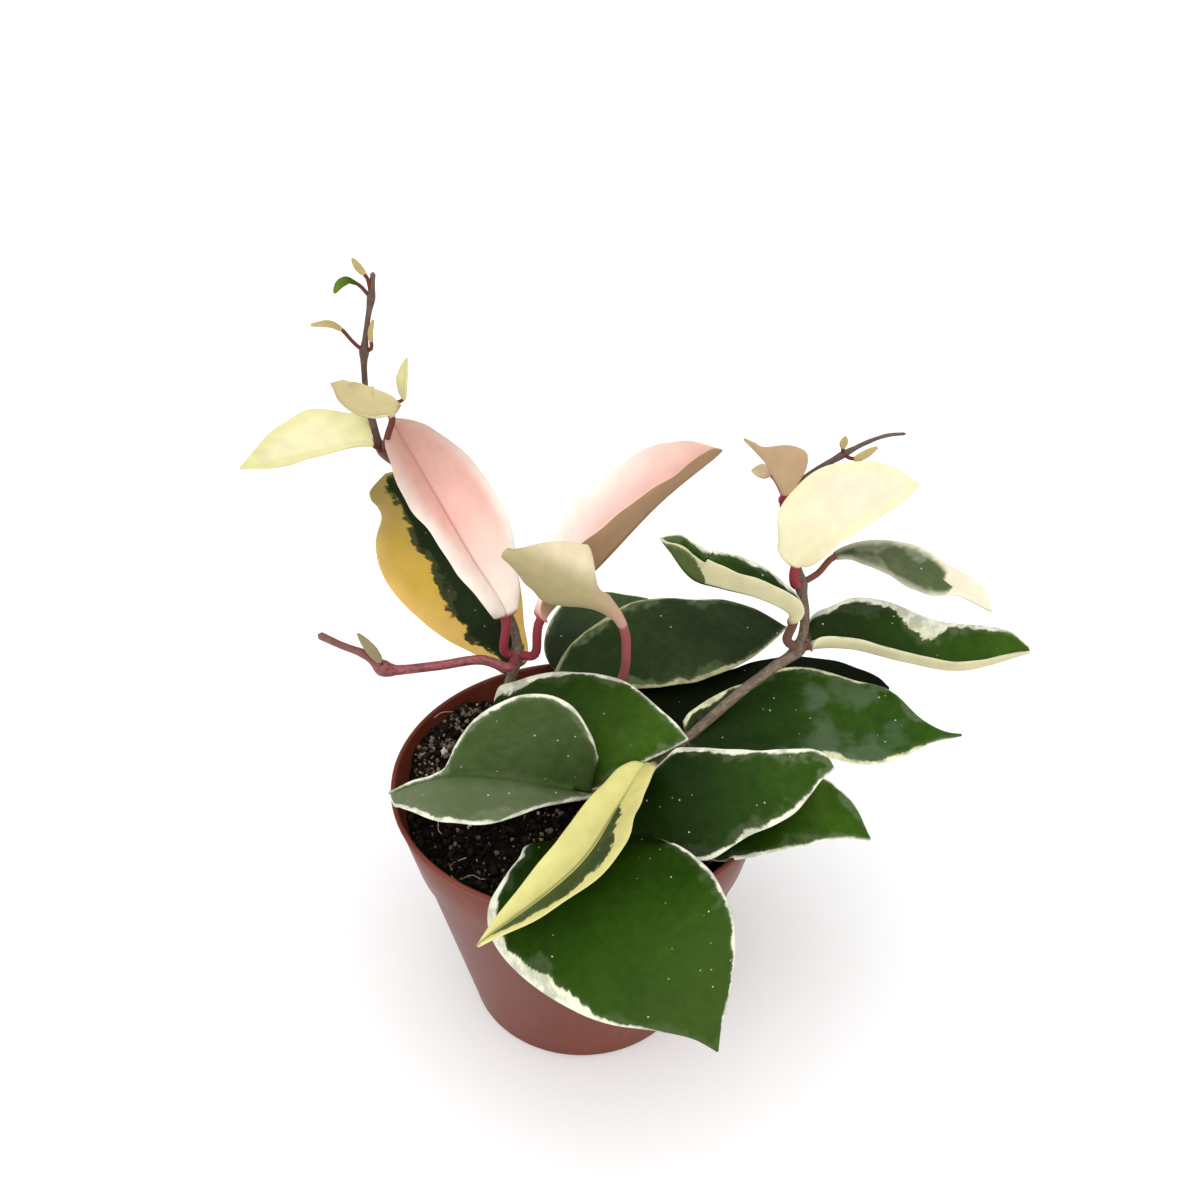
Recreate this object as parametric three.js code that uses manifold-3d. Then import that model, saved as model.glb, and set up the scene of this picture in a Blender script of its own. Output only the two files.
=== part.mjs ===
// A young variegated wax plant (Hoya) in a thin-walled nursery pot.
//
// Millimetres, +Z up. The origin is the centre of the pot's underside, on the surface that the
// pot stands on. +X is to the right and -Y to the front.
//
// Every stem is a round tube whose centre line passes through a few points, each with the stem's
// radius there. Every leaf is one closed solid: a round stalk that turns into a thin blade, which
// follows a midrib and is folded up or down along it.

import * as THREE from "three";
import { mergeVertices } from "three/addons/utils/BufferGeometryUtils.js";
import Module from "manifold-3d";

const wasm = await Module();
wasm.setup();

// Pot
const POT_HEIGHT = 80;
const POT_RIM_RADIUS = 52.5;
const POT_BASE_RADIUS = 34;
const POT_WALL = 1.2;
const POT_COLLAR_DEPTH = 20;
const POT_COLLAR_STEP = 1.3;
const POT_EDGE_ROUNDING = 1.5;
const POT_SIDES = 48;
const DRAIN_HOLES = 6;
const DRAIN_HOLE_RADIUS = 4;
const DRAIN_HOLE_SIDES = 12;
const DRAIN_CIRCLE_RADIUS = 23;
const DRILL_LENGTH = 4 * POT_WALL;

// Soil
const SOIL_DEPTH_BELOW_RIM = 12;
const SOIL_MOUND = 1.5;
const SOIL_MOUND_SPREAD = 0.6;

// The gap that a piece keeps to the one that it grows from or stands in
const SEAT_GAP = 0.3;
const SEAT_SEARCH_STEP = 0.05;

// Stems
const STEM_SIDES = 8;
const STEM_STEP = 4;

// Leaves
const STALK_RADIUS = 1.3;
const SMALL_STALK_RADIUS = 0.5;
const STALK_STEP = 4;
const STALK_FADE_POWER = 4;
const BLADE_THICKNESS = 1.4;
const SMALL_BLADE_THICKNESS = 0.9;
const TIP_THICKNESS_SHARE = 0.6;
const TIP_HALF_WIDTH = 0.4;
const BLADE_STEP = 6;
const FEWEST_BLADE_STEPS = 3;
const MOST_BLADE_STEPS = 11;
const ACROSS_HALF = 0.5;

// Surfaces
const PLASTIC_ROUGHNESS = 0.55;
const SOIL_ROUGHNESS = 0.95;
const BARK_ROUGHNESS = 0.8;
const SHOOT_ROUGHNESS = 0.5;
const LEAF_ROUGHNESS = 0.4;
const POT_BROWN = "#84574f";
const SOIL_BROWN = "#2b1d18";
const BARK_BROWN = "#6e6152";
const SHOOT_RED = "#8c3c42";
const LEAF_GREEN = "#3b5826";
const LEAF_DARK_GREEN = "#37412a";
const LEAF_GREY_GREEN = "#5d6b4c";
const LEAF_PINK = "#eab2a5";
const LEAF_KHAKI = "#b4a681";
const LEAF_TAN = "#b89a78";
const LEAF_CREAM = "#f3e8c0";
const LEAF_YELLOW = "#dbb75e";

// Stems, each point [x, y, z, radius], from the foot in the soil to the tip
const STEM_LEFT = [
  [-26, 12, 58, 1.6], [-25, 13, 72, 1.6], [-23, 15, 89, 1.9], [-20, 18, 98, 1.5],
  [-18, 20.5, 105, 2.0], [-19, 23, 113, 1.3], [-31, 33, 131, 1.3], [-47, 41, 151, 1.2],
  [-54, 42, 158, 1.6], [-56, 43, 166, 1.1], [-57, 43.5, 173, 1.3], [-57, 43, 181, 1.1],
  [-56, 42, 188, 1.5], [-54, 41, 196, 1.1], [-53, 40, 203, 1.3], [-52, 40, 208, 0.9],
];
const STEM_RIGHT = [
  [-3, -14, 58, 1.7], [-2, -14, 70, 1.7], [5, -10, 79, 2.0], [12, -7, 83, 1.5], [20, -5, 86.5, 2.0],
  [30, -1.5, 93.5, 2.0], [44, 6, 103, 1.4], [53, 11, 107.5, 1.5], [60, 15, 111, 2.2], [61.5, 18, 119, 1.3],
  [60, 21.5, 128, 1.9], [57, 24, 140, 1.1], [54.5, 26, 151, 1.5], [58, 27, 156, 1.0], [69, 29, 163, 1.1],
  [75, 30, 166, 0.9], [80, 30, 168, 0.8], [85, 30, 168.5, 0.7],
];
const STEM_MIDDLE = [
  [-6, 27, 58, 1.6], [-5, 28, 72, 1.6], [-4, 28, 84, 1.9], [0, 24, 88, 1.4], [6, 16, 90, 1.8],
  [9, 12, 90.5, 1.3],
];
const RED_SHOOT_ROUTE = [
  [-20, 13, 106, 1.3], [-27, 13, 108.5, 1.3], [-39, 11, 108, 1.3], [-51, 9, 108, 1.4],
  [-53.5, 8.5, 109, 2.1], [-56, 8, 111, 1.2], [-62, 6, 115.5, 0.9], [-69, 4, 121, 0.9],
];

// Joints: the numbers of the stem points that leaves and the red shoot grow from
const LEFT_LOW_PAIR = 2;
const LEFT_PINK_PAIR = 4;
const LEFT_PALE_PAIR = 8;
const LEFT_SMALL_LEAF = 10;
const LEFT_UPPER_PAIR = 12;
const LEFT_TOP_PAIR = 14;
const RIGHT_FOOT = 1;
const RIGHT_LOW_PAIR = 2;
const RIGHT_CREAM_PAIR = 4;
const RIGHT_WIDE_PAIR = 5;
const RIGHT_FIRST_PAIR = 8;
const RIGHT_SECOND_PAIR = 10;
const RIGHT_THIRD_PAIR = 12;
const RIGHT_TIP_PAIR = 14;
const MIDDLE_LOW_PAIR = 2;
const MIDDLE_KHAKI_LEAF = 4;
const SHOOT_BUD = 5;

const RED_SHOOT_RADIUS = RED_SHOOT_ROUTE[0][3];
const RED_SHOOT_START = seat(STEM_LEFT, LEFT_PINK_PAIR, RED_SHOOT_ROUTE[0], RED_SHOOT_RADIUS);
const RED_SHOOT = [[...RED_SHOOT_START.toArray(), RED_SHOOT_RADIUS], ...RED_SHOOT_ROUTE];

// Leaves: the stem and joint that each grows from, the points that its stalk and blade pass, the
// way it faces, and for its left and right half [width, fold near the midrib, fold at the margin].
// Left and right are seen from above with the tip pointing away; folds are degrees towards the
// side that it faces. See outline for widest, foot and point.
const LEAVES = [
  {
    name: "leaf_pink_left", stem: STEM_LEFT, joint: LEFT_PINK_PAIR, color: LEAF_PINK,
    stalk: [[-21.5, 20, 108.5]],
    blade: [[-21, 19, 119], [-30, 27, 133], [-41, 36, 150], [-52, 43.5, 164]],
    face: [0.35, -0.8, 0.45], left: [13, 60, 45], right: [13, 5, 0], widest: 0.4, foot: 0.7, rightPoint: 0.7,
  },
  {
    name: "leaf_pink_right", stem: STEM_LEFT, joint: LEFT_PINK_PAIR, color: LEAF_PINK,
    stalk: [[-13.5, 18.5, 105]], blade: [[-10, 18, 121], [5, 24, 134], [22, 33, 148], [38, 40, 160]],
    face: [-0.25, -0.8, 0.5], left: [15, 0, 5], right: [13, 105, 105], widest: 0.5, foot: 0.7,
  },
  {
    name: "leaf_khaki", stem: STEM_MIDDLE, joint: MIDDLE_KHAKI_LEAF, color: LEAF_KHAKI,
    stalk: [[8.5, 18.5, 101], [11, 15, 113]], blade: [[7, 7, 130], [-6, 1, 141.5], [-18.5, -4, 152.5]],
    face: [0.3, 0.9, 0.4], left: [13, 20, 40], right: [9, 20, 40], widest: 0.35,
  },
  {
    name: "leaf_yellow", stem: STEM_LEFT, joint: LEFT_LOW_PAIR, color: LEAF_YELLOW,
    stalk: [[-20, 21, 92]], blade: [[-21, 26, 95], [-33, 38, 113], [-46, 47, 131], [-56, 52, 146]],
    face: [0, -0.85, 0.5], left: [17, -5, 5], right: [17, -5, 5], widest: 0.4, foot: 0.55, point: 0.7,
  },
  {
    name: "leaf_fold_left", stem: STEM_RIGHT, joint: RIGHT_LOW_PAIR, color: LEAF_GREY_GREEN,
    blade: [[0, -13, 84], [-14, -16, 90], [-34, -17, 90.5], [-50.5, -17, 87]], face: [0, -0.3, 0.95],
    left: [15, -10, 0], right: [24, 66, 60], widest: 0.35, foot: 0.5, rightPoint: 3.2,
  },
  {
    name: "leaf_arch", stem: STEM_LEFT, joint: LEFT_LOW_PAIR, color: LEAF_GREEN,
    stalk: [[-25, 11, 90]], blade: [[-22, 8, 91], [-8, 4, 94.5], [10, -1, 96.5], [29, -6, 96]],
    face: [0, -0.5, 0.85], left: [19, 10, 0], right: [14, -10, -20], foot: 0.5, rightWidest: 0.6,
  },
  {
    name: "leaf_cream_fold", stem: STEM_RIGHT, joint: RIGHT_CREAM_PAIR, color: LEAF_CREAM,
    stalk: [[18.5, -10.5, 87.5]],
    blade: [[18, -16, 90], [11, -31, 92.5], [-1.5, -49, 91], [-22.7, -66, 84.6]],
    face: [-0.2, -0.4, 0.9], left: [8, 50, 50], right: [11, 30, 25], foot: 0.8,
  },
  {
    name: "leaf_front", stem: STEM_RIGHT, joint: RIGHT_FOOT, color: LEAF_GREEN,
    stalk: [[0, -22, 78]], blade: [[3, -30, 82.5], [7, -44, 86], [18, -62, 76], [33.5, -72, 54.5]],
    face: [0, -0.2, 1], tipFace: [0.1, -0.9, 0.3],
    left: [27, 0, -5], right: [30, 8, 8], widest: 0.42, foot: 0.5, rightWidest: 0.34, rightPoint: 1.1,
  },
  {
    name: "leaf_right_upper", stem: STEM_RIGHT, joint: RIGHT_CREAM_PAIR, color: LEAF_GREEN,
    stalk: [[24, -11, 84.5]], blade: [[24, -17, 85], [33, -23, 88], [48.5, -25, 93], [66, -20, 98.5]],
    face: [0, -0.4, 0.9], left: [15, 0, 0], right: [15, 0, 0], widest: 0.4, foot: 0.45, rightWidest: 0.35,
  },
  {
    name: "leaf_right_lower", stem: STEM_RIGHT, joint: RIGHT_LOW_PAIR, color: LEAF_DARK_GREEN,
    stalk: [[12, -14, 80]], blade: [[24, -18, 82], [44, -24, 84], [62, -27, 83], [75.5, -27, 80]],
    face: [0, -0.3, 0.95], left: [17, 0, 0], right: [9, 0, 0],
  },
  {
    name: "leaf_right_wide", stem: STEM_RIGHT, joint: RIGHT_WIDE_PAIR, color: LEAF_GREEN,
    blade: [[36, -2, 91.5], [49, -1, 92.7], [76, 1, 95], [104.5, 1, 92.2]],
    face: [0, -0.4, 0.9], left: [19, 0, 0], right: [12, -20, -40], foot: 0.5, rightWidest: 0.65,
  },
  {
    name: "leaf_back_right", stem: STEM_RIGHT, joint: RIGHT_WIDE_PAIR, color: LEAF_DARK_GREEN,
    stalk: [[31, 4, 91]], blade: [[40, 10, 88.5], [58, 18, 90], [75, 22, 92], [89, 22, 92]],
    face: [0, -0.2, 1], left: [14, 0, 0], right: [12, 0, 0],
  },
  {
    name: "leaf_middle_wide", stem: STEM_MIDDLE, joint: MIDDLE_LOW_PAIR, color: LEAF_DARK_GREEN,
    stalk: [[-5, 31, 89]], blade: [[-3, 35, 92], [16, 40, 97], [40, 45, 99], [62, 46, 97]],
    face: [0, -0.25, 0.97], left: [17, 0, 0], right: [19, 0, 0], foot: 0.5,
  },
  {
    name: "leaf_back", stem: STEM_MIDDLE, joint: MIDDLE_LOW_PAIR, color: LEAF_DARK_GREEN,
    stalk: [[-5.5, 34.5, 83]], blade: [[-4, 42, 81], [2, 56, 86], [10, 73, 94]],
    face: [0, -0.3, 1], left: [16, 0, 10], right: [16, 0, 10], foot: 0.5,
  },
  {
    name: "leaf_first_right", stem: STEM_RIGHT, joint: RIGHT_FIRST_PAIR, color: LEAF_GREEN,
    blade: [[65, 14.5, 111.5], [77, 15, 117.5], [96, 13, 116.5], [121.8, 10, 113.6]],
    face: [0, -0.5, 0.85], left: [12, 10, 15], right: [9, 15, 30],
  },
  {
    name: "leaf_first_left", stem: STEM_RIGHT, joint: RIGHT_FIRST_PAIR, color: LEAF_GREEN,
    stalk: [[57, 12.5, 115]], blade: [[59, 12.5, 121.5], [50, 12.5, 126], [36, 15, 131.5], [21, 20, 142]],
    face: [0, -0.3, 0.95], left: [11, 95, 95], right: [10, 50, 40],
  },
  {
    name: "leaf_second_right", stem: STEM_RIGHT, joint: RIGHT_SECOND_PAIR, color: LEAF_GREY_GREEN,
    blade: [[68, 24, 131.5], [82.5, 24, 133.5], [97, 20, 131], [109, 10, 125.5]],
    face: [0, -0.5, 0.85], left: [8, 10, 15], right: [7, 0, 0],
  },
  {
    name: "leaf_second_left", stem: STEM_RIGHT, joint: RIGHT_SECOND_PAIR, color: LEAF_CREAM,
    stalk: [[58, 18, 130]], blade: [[57.5, 16, 135.5], [66, 16, 147], [77, 19, 152.5], [88.6, 23, 156.5]],
    face: [0, -0.85, 0.5], left: [15, 0, 5], right: [9, 30, 40], foot: 0.5,
  },
  {
    name: "leaf_third_left", stem: STEM_RIGHT, joint: RIGHT_THIRD_PAIR, color: LEAF_TAN,
    blade: [[53.8, 22, 155], [54.2, 22, 161], [49.5, 22, 165.5], [42.4, 24, 168.5]],
    face: [0, 0.85, -0.3], left: [5, 0, 0], right: [5, 0, 0], thickness: SMALL_BLADE_THICKNESS,
  },
  {
    name: "leaf_third_scrap", stem: STEM_RIGHT, joint: RIGHT_THIRD_PAIR, color: LEAF_KHAKI,
    blade: [[50.6, 29, 157], [45.3, 28, 159]], stalkRadius: SMALL_STALK_RADIUS,
    face: [0, -0.8, 0.5], left: [2, 0, 0], right: [2, 0, 0], thickness: SMALL_BLADE_THICKNESS,
  },
  {
    name: "leaf_pale_left", stem: STEM_LEFT, joint: LEFT_PALE_PAIR, color: LEAF_CREAM,
    blade: [[-57.5, 39, 161.5], [-69.5, 29, 167.5], [-85.5, 17, 165]],
    face: [0, -0.5, 0.85], left: [8, 0, 0], right: [9, 0, 0], thickness: SMALL_BLADE_THICKNESS,
  },
  {
    name: "leaf_bowl", stem: STEM_LEFT, joint: LEFT_PALE_PAIR, color: LEAF_CREAM,
    stalk: [[-50, 34, 163]],
    blade: [[-48.5, 33.5, 171], [-55, 32.5, 171], [-61, 34, 174.5], [-65, 38, 179.5]],
    face: [0, 0.2, 1], left: [8, 60, 80], right: [7, 50, 70],
    thickness: SMALL_BLADE_THICKNESS, stalkRadius: 0.9,
  },
  {
    name: "leaf_upright", stem: STEM_LEFT, joint: LEFT_SMALL_LEAF, color: LEAF_CREAM,
    stalk: [[-52, 44, 172]], blade: [[-48, 43, 173], [-45.5, 43, 178], [-46, 46, 183]],
    face: [-0.6, -0.4, 0.3], left: [3, 20, 20], right: [3, 20, 20],
    thickness: SMALL_BLADE_THICKNESS, stalkRadius: SMALL_STALK_RADIUS,
  },
  {
    name: "leaf_upper_left", stem: STEM_LEFT, joint: LEFT_UPPER_PAIR, color: LEAF_KHAKI,
    stalk: [[-59, 40, 191.5]], blade: [[-61, 38.5, 194], [-67.6, 36, 195.6]],
    face: [0, -0.4, 0.9], left: [1.5, 0, 0], right: [1.5, 0, 0],
    thickness: SMALL_BLADE_THICKNESS, stalkRadius: SMALL_STALK_RADIUS,
  },
  {
    name: "leaf_upper_right", stem: STEM_LEFT, joint: LEFT_UPPER_PAIR, color: LEAF_KHAKI,
    blade: [[-53, 40, 190], [-52.7, 39, 195.5]],
    face: [-0.5, -0.8, 0.2], left: [1.2, 0, 0], right: [1.2, 0, 0],
    thickness: SMALL_BLADE_THICKNESS, stalkRadius: SMALL_STALK_RADIUS,
  },
  {
    name: "leaf_top_left", stem: STEM_LEFT, joint: LEFT_TOP_PAIR, color: LEAF_GREEN,
    blade: [[-55.5, 38, 205], [-60.1, 34, 204.4]],
    face: [0, -0.4, 0.9], left: [1.8, 0, 0], right: [1.8, 0, 0],
    thickness: SMALL_BLADE_THICKNESS, stalkRadius: SMALL_STALK_RADIUS,
  },
  {
    name: "leaf_top_right", stem: STEM_LEFT, joint: LEFT_TOP_PAIR, color: LEAF_KHAKI,
    blade: [[-53.5, 37.5, 206], [-55.5, 37, 212]],
    face: [0.5, -0.8, 0.2], left: [1.2, 0, 0], right: [1.2, 0, 0],
    thickness: SMALL_BLADE_THICKNESS, stalkRadius: SMALL_STALK_RADIUS,
  },
  {
    name: "bud_red_shoot", stem: RED_SHOOT, joint: SHOOT_BUD, color: LEAF_KHAKI,
    blade: [[-55, 7.5, 113.5], [-58.5, 6, 122]],
    face: [0.6, -0.7, 0.2], left: [1.5, 0, 0], right: [1.5, 0, 0],
    thickness: SMALL_BLADE_THICKNESS, stalkRadius: SMALL_STALK_RADIUS,
  },
  {
    name: "bud_right_upper", stem: STEM_RIGHT, joint: RIGHT_TIP_PAIR, color: LEAF_KHAKI,
    blade: [[68.5, 28, 165.5], [68.6, 27, 169]],
    face: [0, -0.8, 0.2], left: [0.9, 0, 0], right: [0.9, 0, 0],
    thickness: SMALL_BLADE_THICKNESS, stalkRadius: SMALL_STALK_RADIUS,
  },
  {
    name: "bud_right_lower", stem: STEM_RIGHT, joint: RIGHT_TIP_PAIR, color: LEAF_KHAKI,
    blade: [[71.5, 26.5, 163], [77, 26, 166.5]],
    face: [0, -0.8, 0.4], left: [0.9, 0, 0], right: [0.9, 0, 0],
    thickness: SMALL_BLADE_THICKNESS, stalkRadius: SMALL_STALK_RADIUS,
  },
];

function vector([x, y, z]) {
  return new THREE.Vector3(x, y, z);
}

function finish(color, roughness) {
  return new THREE.MeshStandardMaterial({ color, roughness, metalness: 0 });
}

// Evenly spread numbers from one value to another
function spread(from, to, steps) {
  return Array.from({ length: steps + 1 }, (_, step) => THREE.MathUtils.lerp(from, to, step / steps));
}

// Closed surface through a row of rings, all with the same number of points, with a fan over the
// first and the last ring
function loft(rings) {
  const sides = rings[0].length;
  const points = rings.flat();
  const corners = [];
  for (let ring = 0; ring + 1 < rings.length; ring += 1) {
    for (let side = 0; side < sides; side += 1) {
      const here = ring * sides + side;
      const next = ring * sides + ((side + 1) % sides);
      corners.push(here, next, next + sides, here, next + sides, here + sides);
    }
  }
  const lastRing = (rings.length - 1) * sides;
  for (const start of [0, lastRing]) {
    const middle = points.length;
    const sum = new THREE.Vector3();
    for (let side = 0; side < sides; side += 1) {
      sum.add(points[start + side]);
      const here = start + side;
      const next = start + ((side + 1) % sides);
      corners.push(middle, ...(start === lastRing ? [here, next] : [next, here]));
    }
    points.push(sum.divideScalar(sides));
  }
  const geometry = new THREE.BufferGeometry();
  const places = points.flatMap((point) => point.toArray());
  geometry.setAttribute("position", new THREE.Float32BufferAttribute(places, 3));
  geometry.setIndex(corners);
  return geometry;
}

// Boolean solid of a closed geometry
function solid(geometry) {
  const bare = geometry.clone();
  bare.deleteAttribute("normal");
  bare.deleteAttribute("uv");
  const merged = mergeVertices(bare);
  return new wasm.Manifold(new wasm.Mesh({
    numProp: 3,
    vertProperties: new Float32Array(merged.attributes.position.array),
    triVerts: new Uint32Array(merged.index.array),
  }));
}

// Geometry of a boolean solid
function geometryOf(manifold) {
  const mesh = manifold.getMesh();
  const geometry = new THREE.BufferGeometry();
  geometry.setAttribute("position", new THREE.Float32BufferAttribute(mesh.vertProperties, 3));
  geometry.setIndex(new THREE.Uint32BufferAttribute(mesh.triVerts, 1));
  return geometry;
}

// Turned shape, upright, from its [radius, height] profile
function turned(profile, sides) {
  const geometry = new THREE.LatheGeometry(profile.map(([r, z]) => new THREE.Vector2(r, z)), sides);
  geometry.rotateX(Math.PI / 2);
  return geometry;
}

// Radius of the pot's outside at a height, without the collar's step
function potRadius(height) {
  return THREE.MathUtils.lerp(POT_BASE_RADIUS, POT_RIM_RADIUS, height / POT_HEIGHT);
}

function potGeometry() {
  const collarFoot = POT_HEIGHT - POT_COLLAR_DEPTH;
  const collarRadius = potRadius(collarFoot);
  const shell = turned([
    [0, 0],
    [POT_BASE_RADIUS - POT_EDGE_ROUNDING, 0],
    [POT_BASE_RADIUS, POT_EDGE_ROUNDING],
    [collarRadius - POT_COLLAR_STEP, collarFoot - POT_COLLAR_STEP],
    [collarRadius, collarFoot],
    [POT_RIM_RADIUS, POT_HEIGHT - POT_WALL / 2],
    [POT_RIM_RADIUS - POT_WALL / 4, POT_HEIGHT],
    [POT_RIM_RADIUS - POT_WALL, POT_HEIGHT],
    [collarRadius - POT_WALL, collarFoot],
    [collarRadius - POT_COLLAR_STEP - POT_WALL, collarFoot - POT_COLLAR_STEP],
    [POT_BASE_RADIUS - POT_WALL, POT_WALL + POT_EDGE_ROUNDING],
    [POT_BASE_RADIUS - POT_WALL - POT_EDGE_ROUNDING, POT_WALL],
    [0, POT_WALL],
  ], POT_SIDES);
  let pot = solid(shell);
  for (const angle of spread(0, 2 * Math.PI, DRAIN_HOLES).slice(1)) {
    const drill = new THREE.CylinderGeometry(
      DRAIN_HOLE_RADIUS, DRAIN_HOLE_RADIUS, DRILL_LENGTH, DRAIN_HOLE_SIDES,
    );
    drill.rotateX(Math.PI / 2);
    drill.translate(DRAIN_CIRCLE_RADIUS * Math.cos(angle), DRAIN_CIRCLE_RADIUS * Math.sin(angle), 0);
    pot = pot.subtract(solid(drill));
  }
  return geometryOf(pot);
}

// Soil that fills the pot, with a pocket for the foot of each stem
function soilGeometry(stems) {
  const inside = POT_WALL + SEAT_GAP;
  const collarFoot = POT_HEIGHT - POT_COLLAR_DEPTH;
  const collarRadius = potRadius(collarFoot);
  const topHeight = POT_HEIGHT - SOIL_DEPTH_BELOW_RIM;
  let soil = solid(turned([
    [0, inside],
    [POT_BASE_RADIUS - inside - POT_EDGE_ROUNDING, inside],
    [POT_BASE_RADIUS - inside, inside + POT_EDGE_ROUNDING],
    [collarRadius - POT_COLLAR_STEP - inside, collarFoot - POT_COLLAR_STEP],
    [collarRadius - inside, collarFoot],
    [potRadius(topHeight) - inside, topHeight],
    [potRadius(topHeight) * SOIL_MOUND_SPREAD, topHeight + SOIL_MOUND],
    [0, topHeight],
  ], POT_SIDES));
  for (const stem of stems) {
    soil = soil.subtract(solid(tubeGeometry(stem, SEAT_GAP)));
  }
  return geometryOf(soil);
}

// Round tube through [x, y, z, radius] points, made thicker and longer all over by grow
function tubeGeometry(points, grow = 0) {
  const curve = new THREE.CatmullRomCurve3(points.map(vector), false, "centripetal");
  const last = points.length - 1;
  const stations = [];
  for (let joint = 0; joint < last; joint += 1) {
    const length = vector(points[joint]).distanceTo(vector(points[joint + 1]));
    const steps = Math.max(1, Math.round(length / STEM_STEP));
    stations.push(...spread(joint, joint + 1, steps).slice(0, steps));
  }
  stations.push(last);
  const angles = spread(0, 2 * Math.PI, STEM_SIDES).slice(1);
  const normal = new THREE.Vector3(1, 0, 0);
  return loft(stations.map((place) => {
    const before = Math.min(Math.floor(place), last - 1);
    const radius = grow + THREE.MathUtils.lerp(points[before][3], points[before + 1][3], place - before);
    const along = curve.getTangent(place / last);
    const shift = place === 0 ? -grow : (place === last ? grow : 0);
    const centre = curve.getPoint(place / last).addScaledVector(along, shift);
    normal.addScaledVector(along, -normal.dot(along)).normalize();
    const binormal = along.clone().cross(normal);
    return angles.map((angle) => centre.clone()
      .addScaledVector(normal, radius * Math.cos(angle))
      .addScaledVector(binormal, radius * Math.sin(angle)));
  }));
}

// Place where something round that sets off from a stem's joint towards next starts: as near to
// the joint as its end can be while it clears the stem by the seat gap
function seat(stem, joint, next, radius) {
  const centre = vector(stem[joint]);
  const away = vector(next).sub(centre).normalize();
  const side = away.clone().cross(new THREE.Vector3(0, 0, 1)).normalize();
  const up = side.clone().cross(away);
  const edge = spread(0, 2 * Math.PI, STEM_SIDES).slice(1).map((angle) => centre.clone()
    .addScaledVector(side, radius * Math.cos(angle))
    .addScaledVector(up, radius * Math.sin(angle)));
  const clears = (point) => [joint - 1, joint + 1].every((other) => {
    const segment = new THREE.Line3(centre, vector(stem[other]));
    const share = segment.closestPointToPointParameter(point, true);
    const stemRadius = THREE.MathUtils.lerp(stem[joint][3], stem[other][3], share);
    return segment.at(share, new THREE.Vector3()).distanceTo(point) >= stemRadius + SEAT_GAP;
  });
  let reach = stem[joint][3];
  while (!edge.every((point) => clears(point.clone().addScaledVector(away, reach)))) {
    reach += SEAT_SEARCH_STEP;
  }
  return centre.addScaledVector(away, reach);
}

// Half width of a blade at u, from 0 at its foot to 1 at its tip, as a share of its widest. A
// small foot or point makes that end blunt, and one over 1 draws it out.
function outline(u, widest, foot, point) {
  const climb = u < widest ? u / widest : (1 - u) / (1 - widest);
  return Math.sin((climb * Math.PI) / 2) ** (u < widest ? foot : point);
}

function leafGeometry({
  stem, joint, stalk = [], blade, face, tipFace = face, left, right,
  stalkRadius = STALK_RADIUS, thickness = BLADE_THICKNESS,
  widest = 0.45, foot = 0.6, point = 0.9, rightWidest = widest, rightPoint = point,
}) {
  const start = seat(stem, joint, stalk[0] ?? blade[0], stalkRadius);
  const points = [start, ...stalk.map(vector), ...blade.map(vector)];
  const curve = new THREE.CatmullRomCurve3(points, false, "centripetal");
  const bladeStart = (stalk.length + 1) / (points.length - 1);
  const stalkSteps = Math.max(1, Math.round(start.distanceTo(vector(blade[0])) / STALK_STEP));
  const bladeLength = vector(blade[0]).distanceTo(vector(blade[blade.length - 1]));
  const bladeSteps = THREE.MathUtils.clamp(
    Math.round(bladeLength / BLADE_STEP), FEWEST_BLADE_STEPS, MOST_BLADE_STEPS,
  );
  const stations = [
    ...spread(0, bladeStart, stalkSteps).slice(0, stalkSteps),
    ...spread(bladeStart, 1, bladeSteps),
  ];
  return loft(stations.map((t) => {
    const along = curve.getTangent(t);
    const side = along.clone().cross(vector(face).lerp(vector(tipFace), t)).normalize();
    const up = side.clone().cross(along);
    const u = Math.max(0, (t - bladeStart) / (1 - bladeStart));
    const stalkShare = (1 - u) ** STALK_FADE_POWER;
    const bladeThickness = thickness * THREE.MathUtils.lerp(1, TIP_THICKNESS_SHARE, u);
    const thick = THREE.MathUtils.lerp(bladeThickness, 2 * stalkRadius, stalkShare);
    const place = (sign, across, lift) => {
      const [width, ribFold, marginFold] = sign < 0 ? left : right;
      const share = sign < 0 ? outline(u, widest, foot, point) : outline(u, rightWidest, foot, rightPoint);
      const reach = across * (width * share + stalkRadius * stalkShare + TIP_HALF_WIDTH * u);
      const degrees = THREE.MathUtils.lerp(ribFold, marginFold, across) * (1 - stalkShare);
      const fold = THREE.MathUtils.degToRad(degrees);
      const rise = (lift * thick * Math.sqrt(1 - across * across)) / 2;
      return curve.getPoint(t)
        .addScaledVector(side, sign * (reach * Math.cos(fold) - rise * Math.sin(fold)))
        .addScaledVector(up, reach * Math.sin(fold) + rise * Math.cos(fold));
    };
    return [
      place(-1, 1, 0), place(-1, ACROSS_HALF, 1), place(1, 0, 1), place(1, ACROSS_HALF, 1),
      place(1, 1, 0), place(1, ACROSS_HALF, -1), place(1, 0, -1), place(-1, ACROSS_HALF, -1),
    ];
  }));
}

const plant = new THREE.Group();

function addPiece(name, geometry, material) {
  const piece = new THREE.Mesh(geometry, material);
  piece.name = name;
  plant.add(piece);
}

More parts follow.
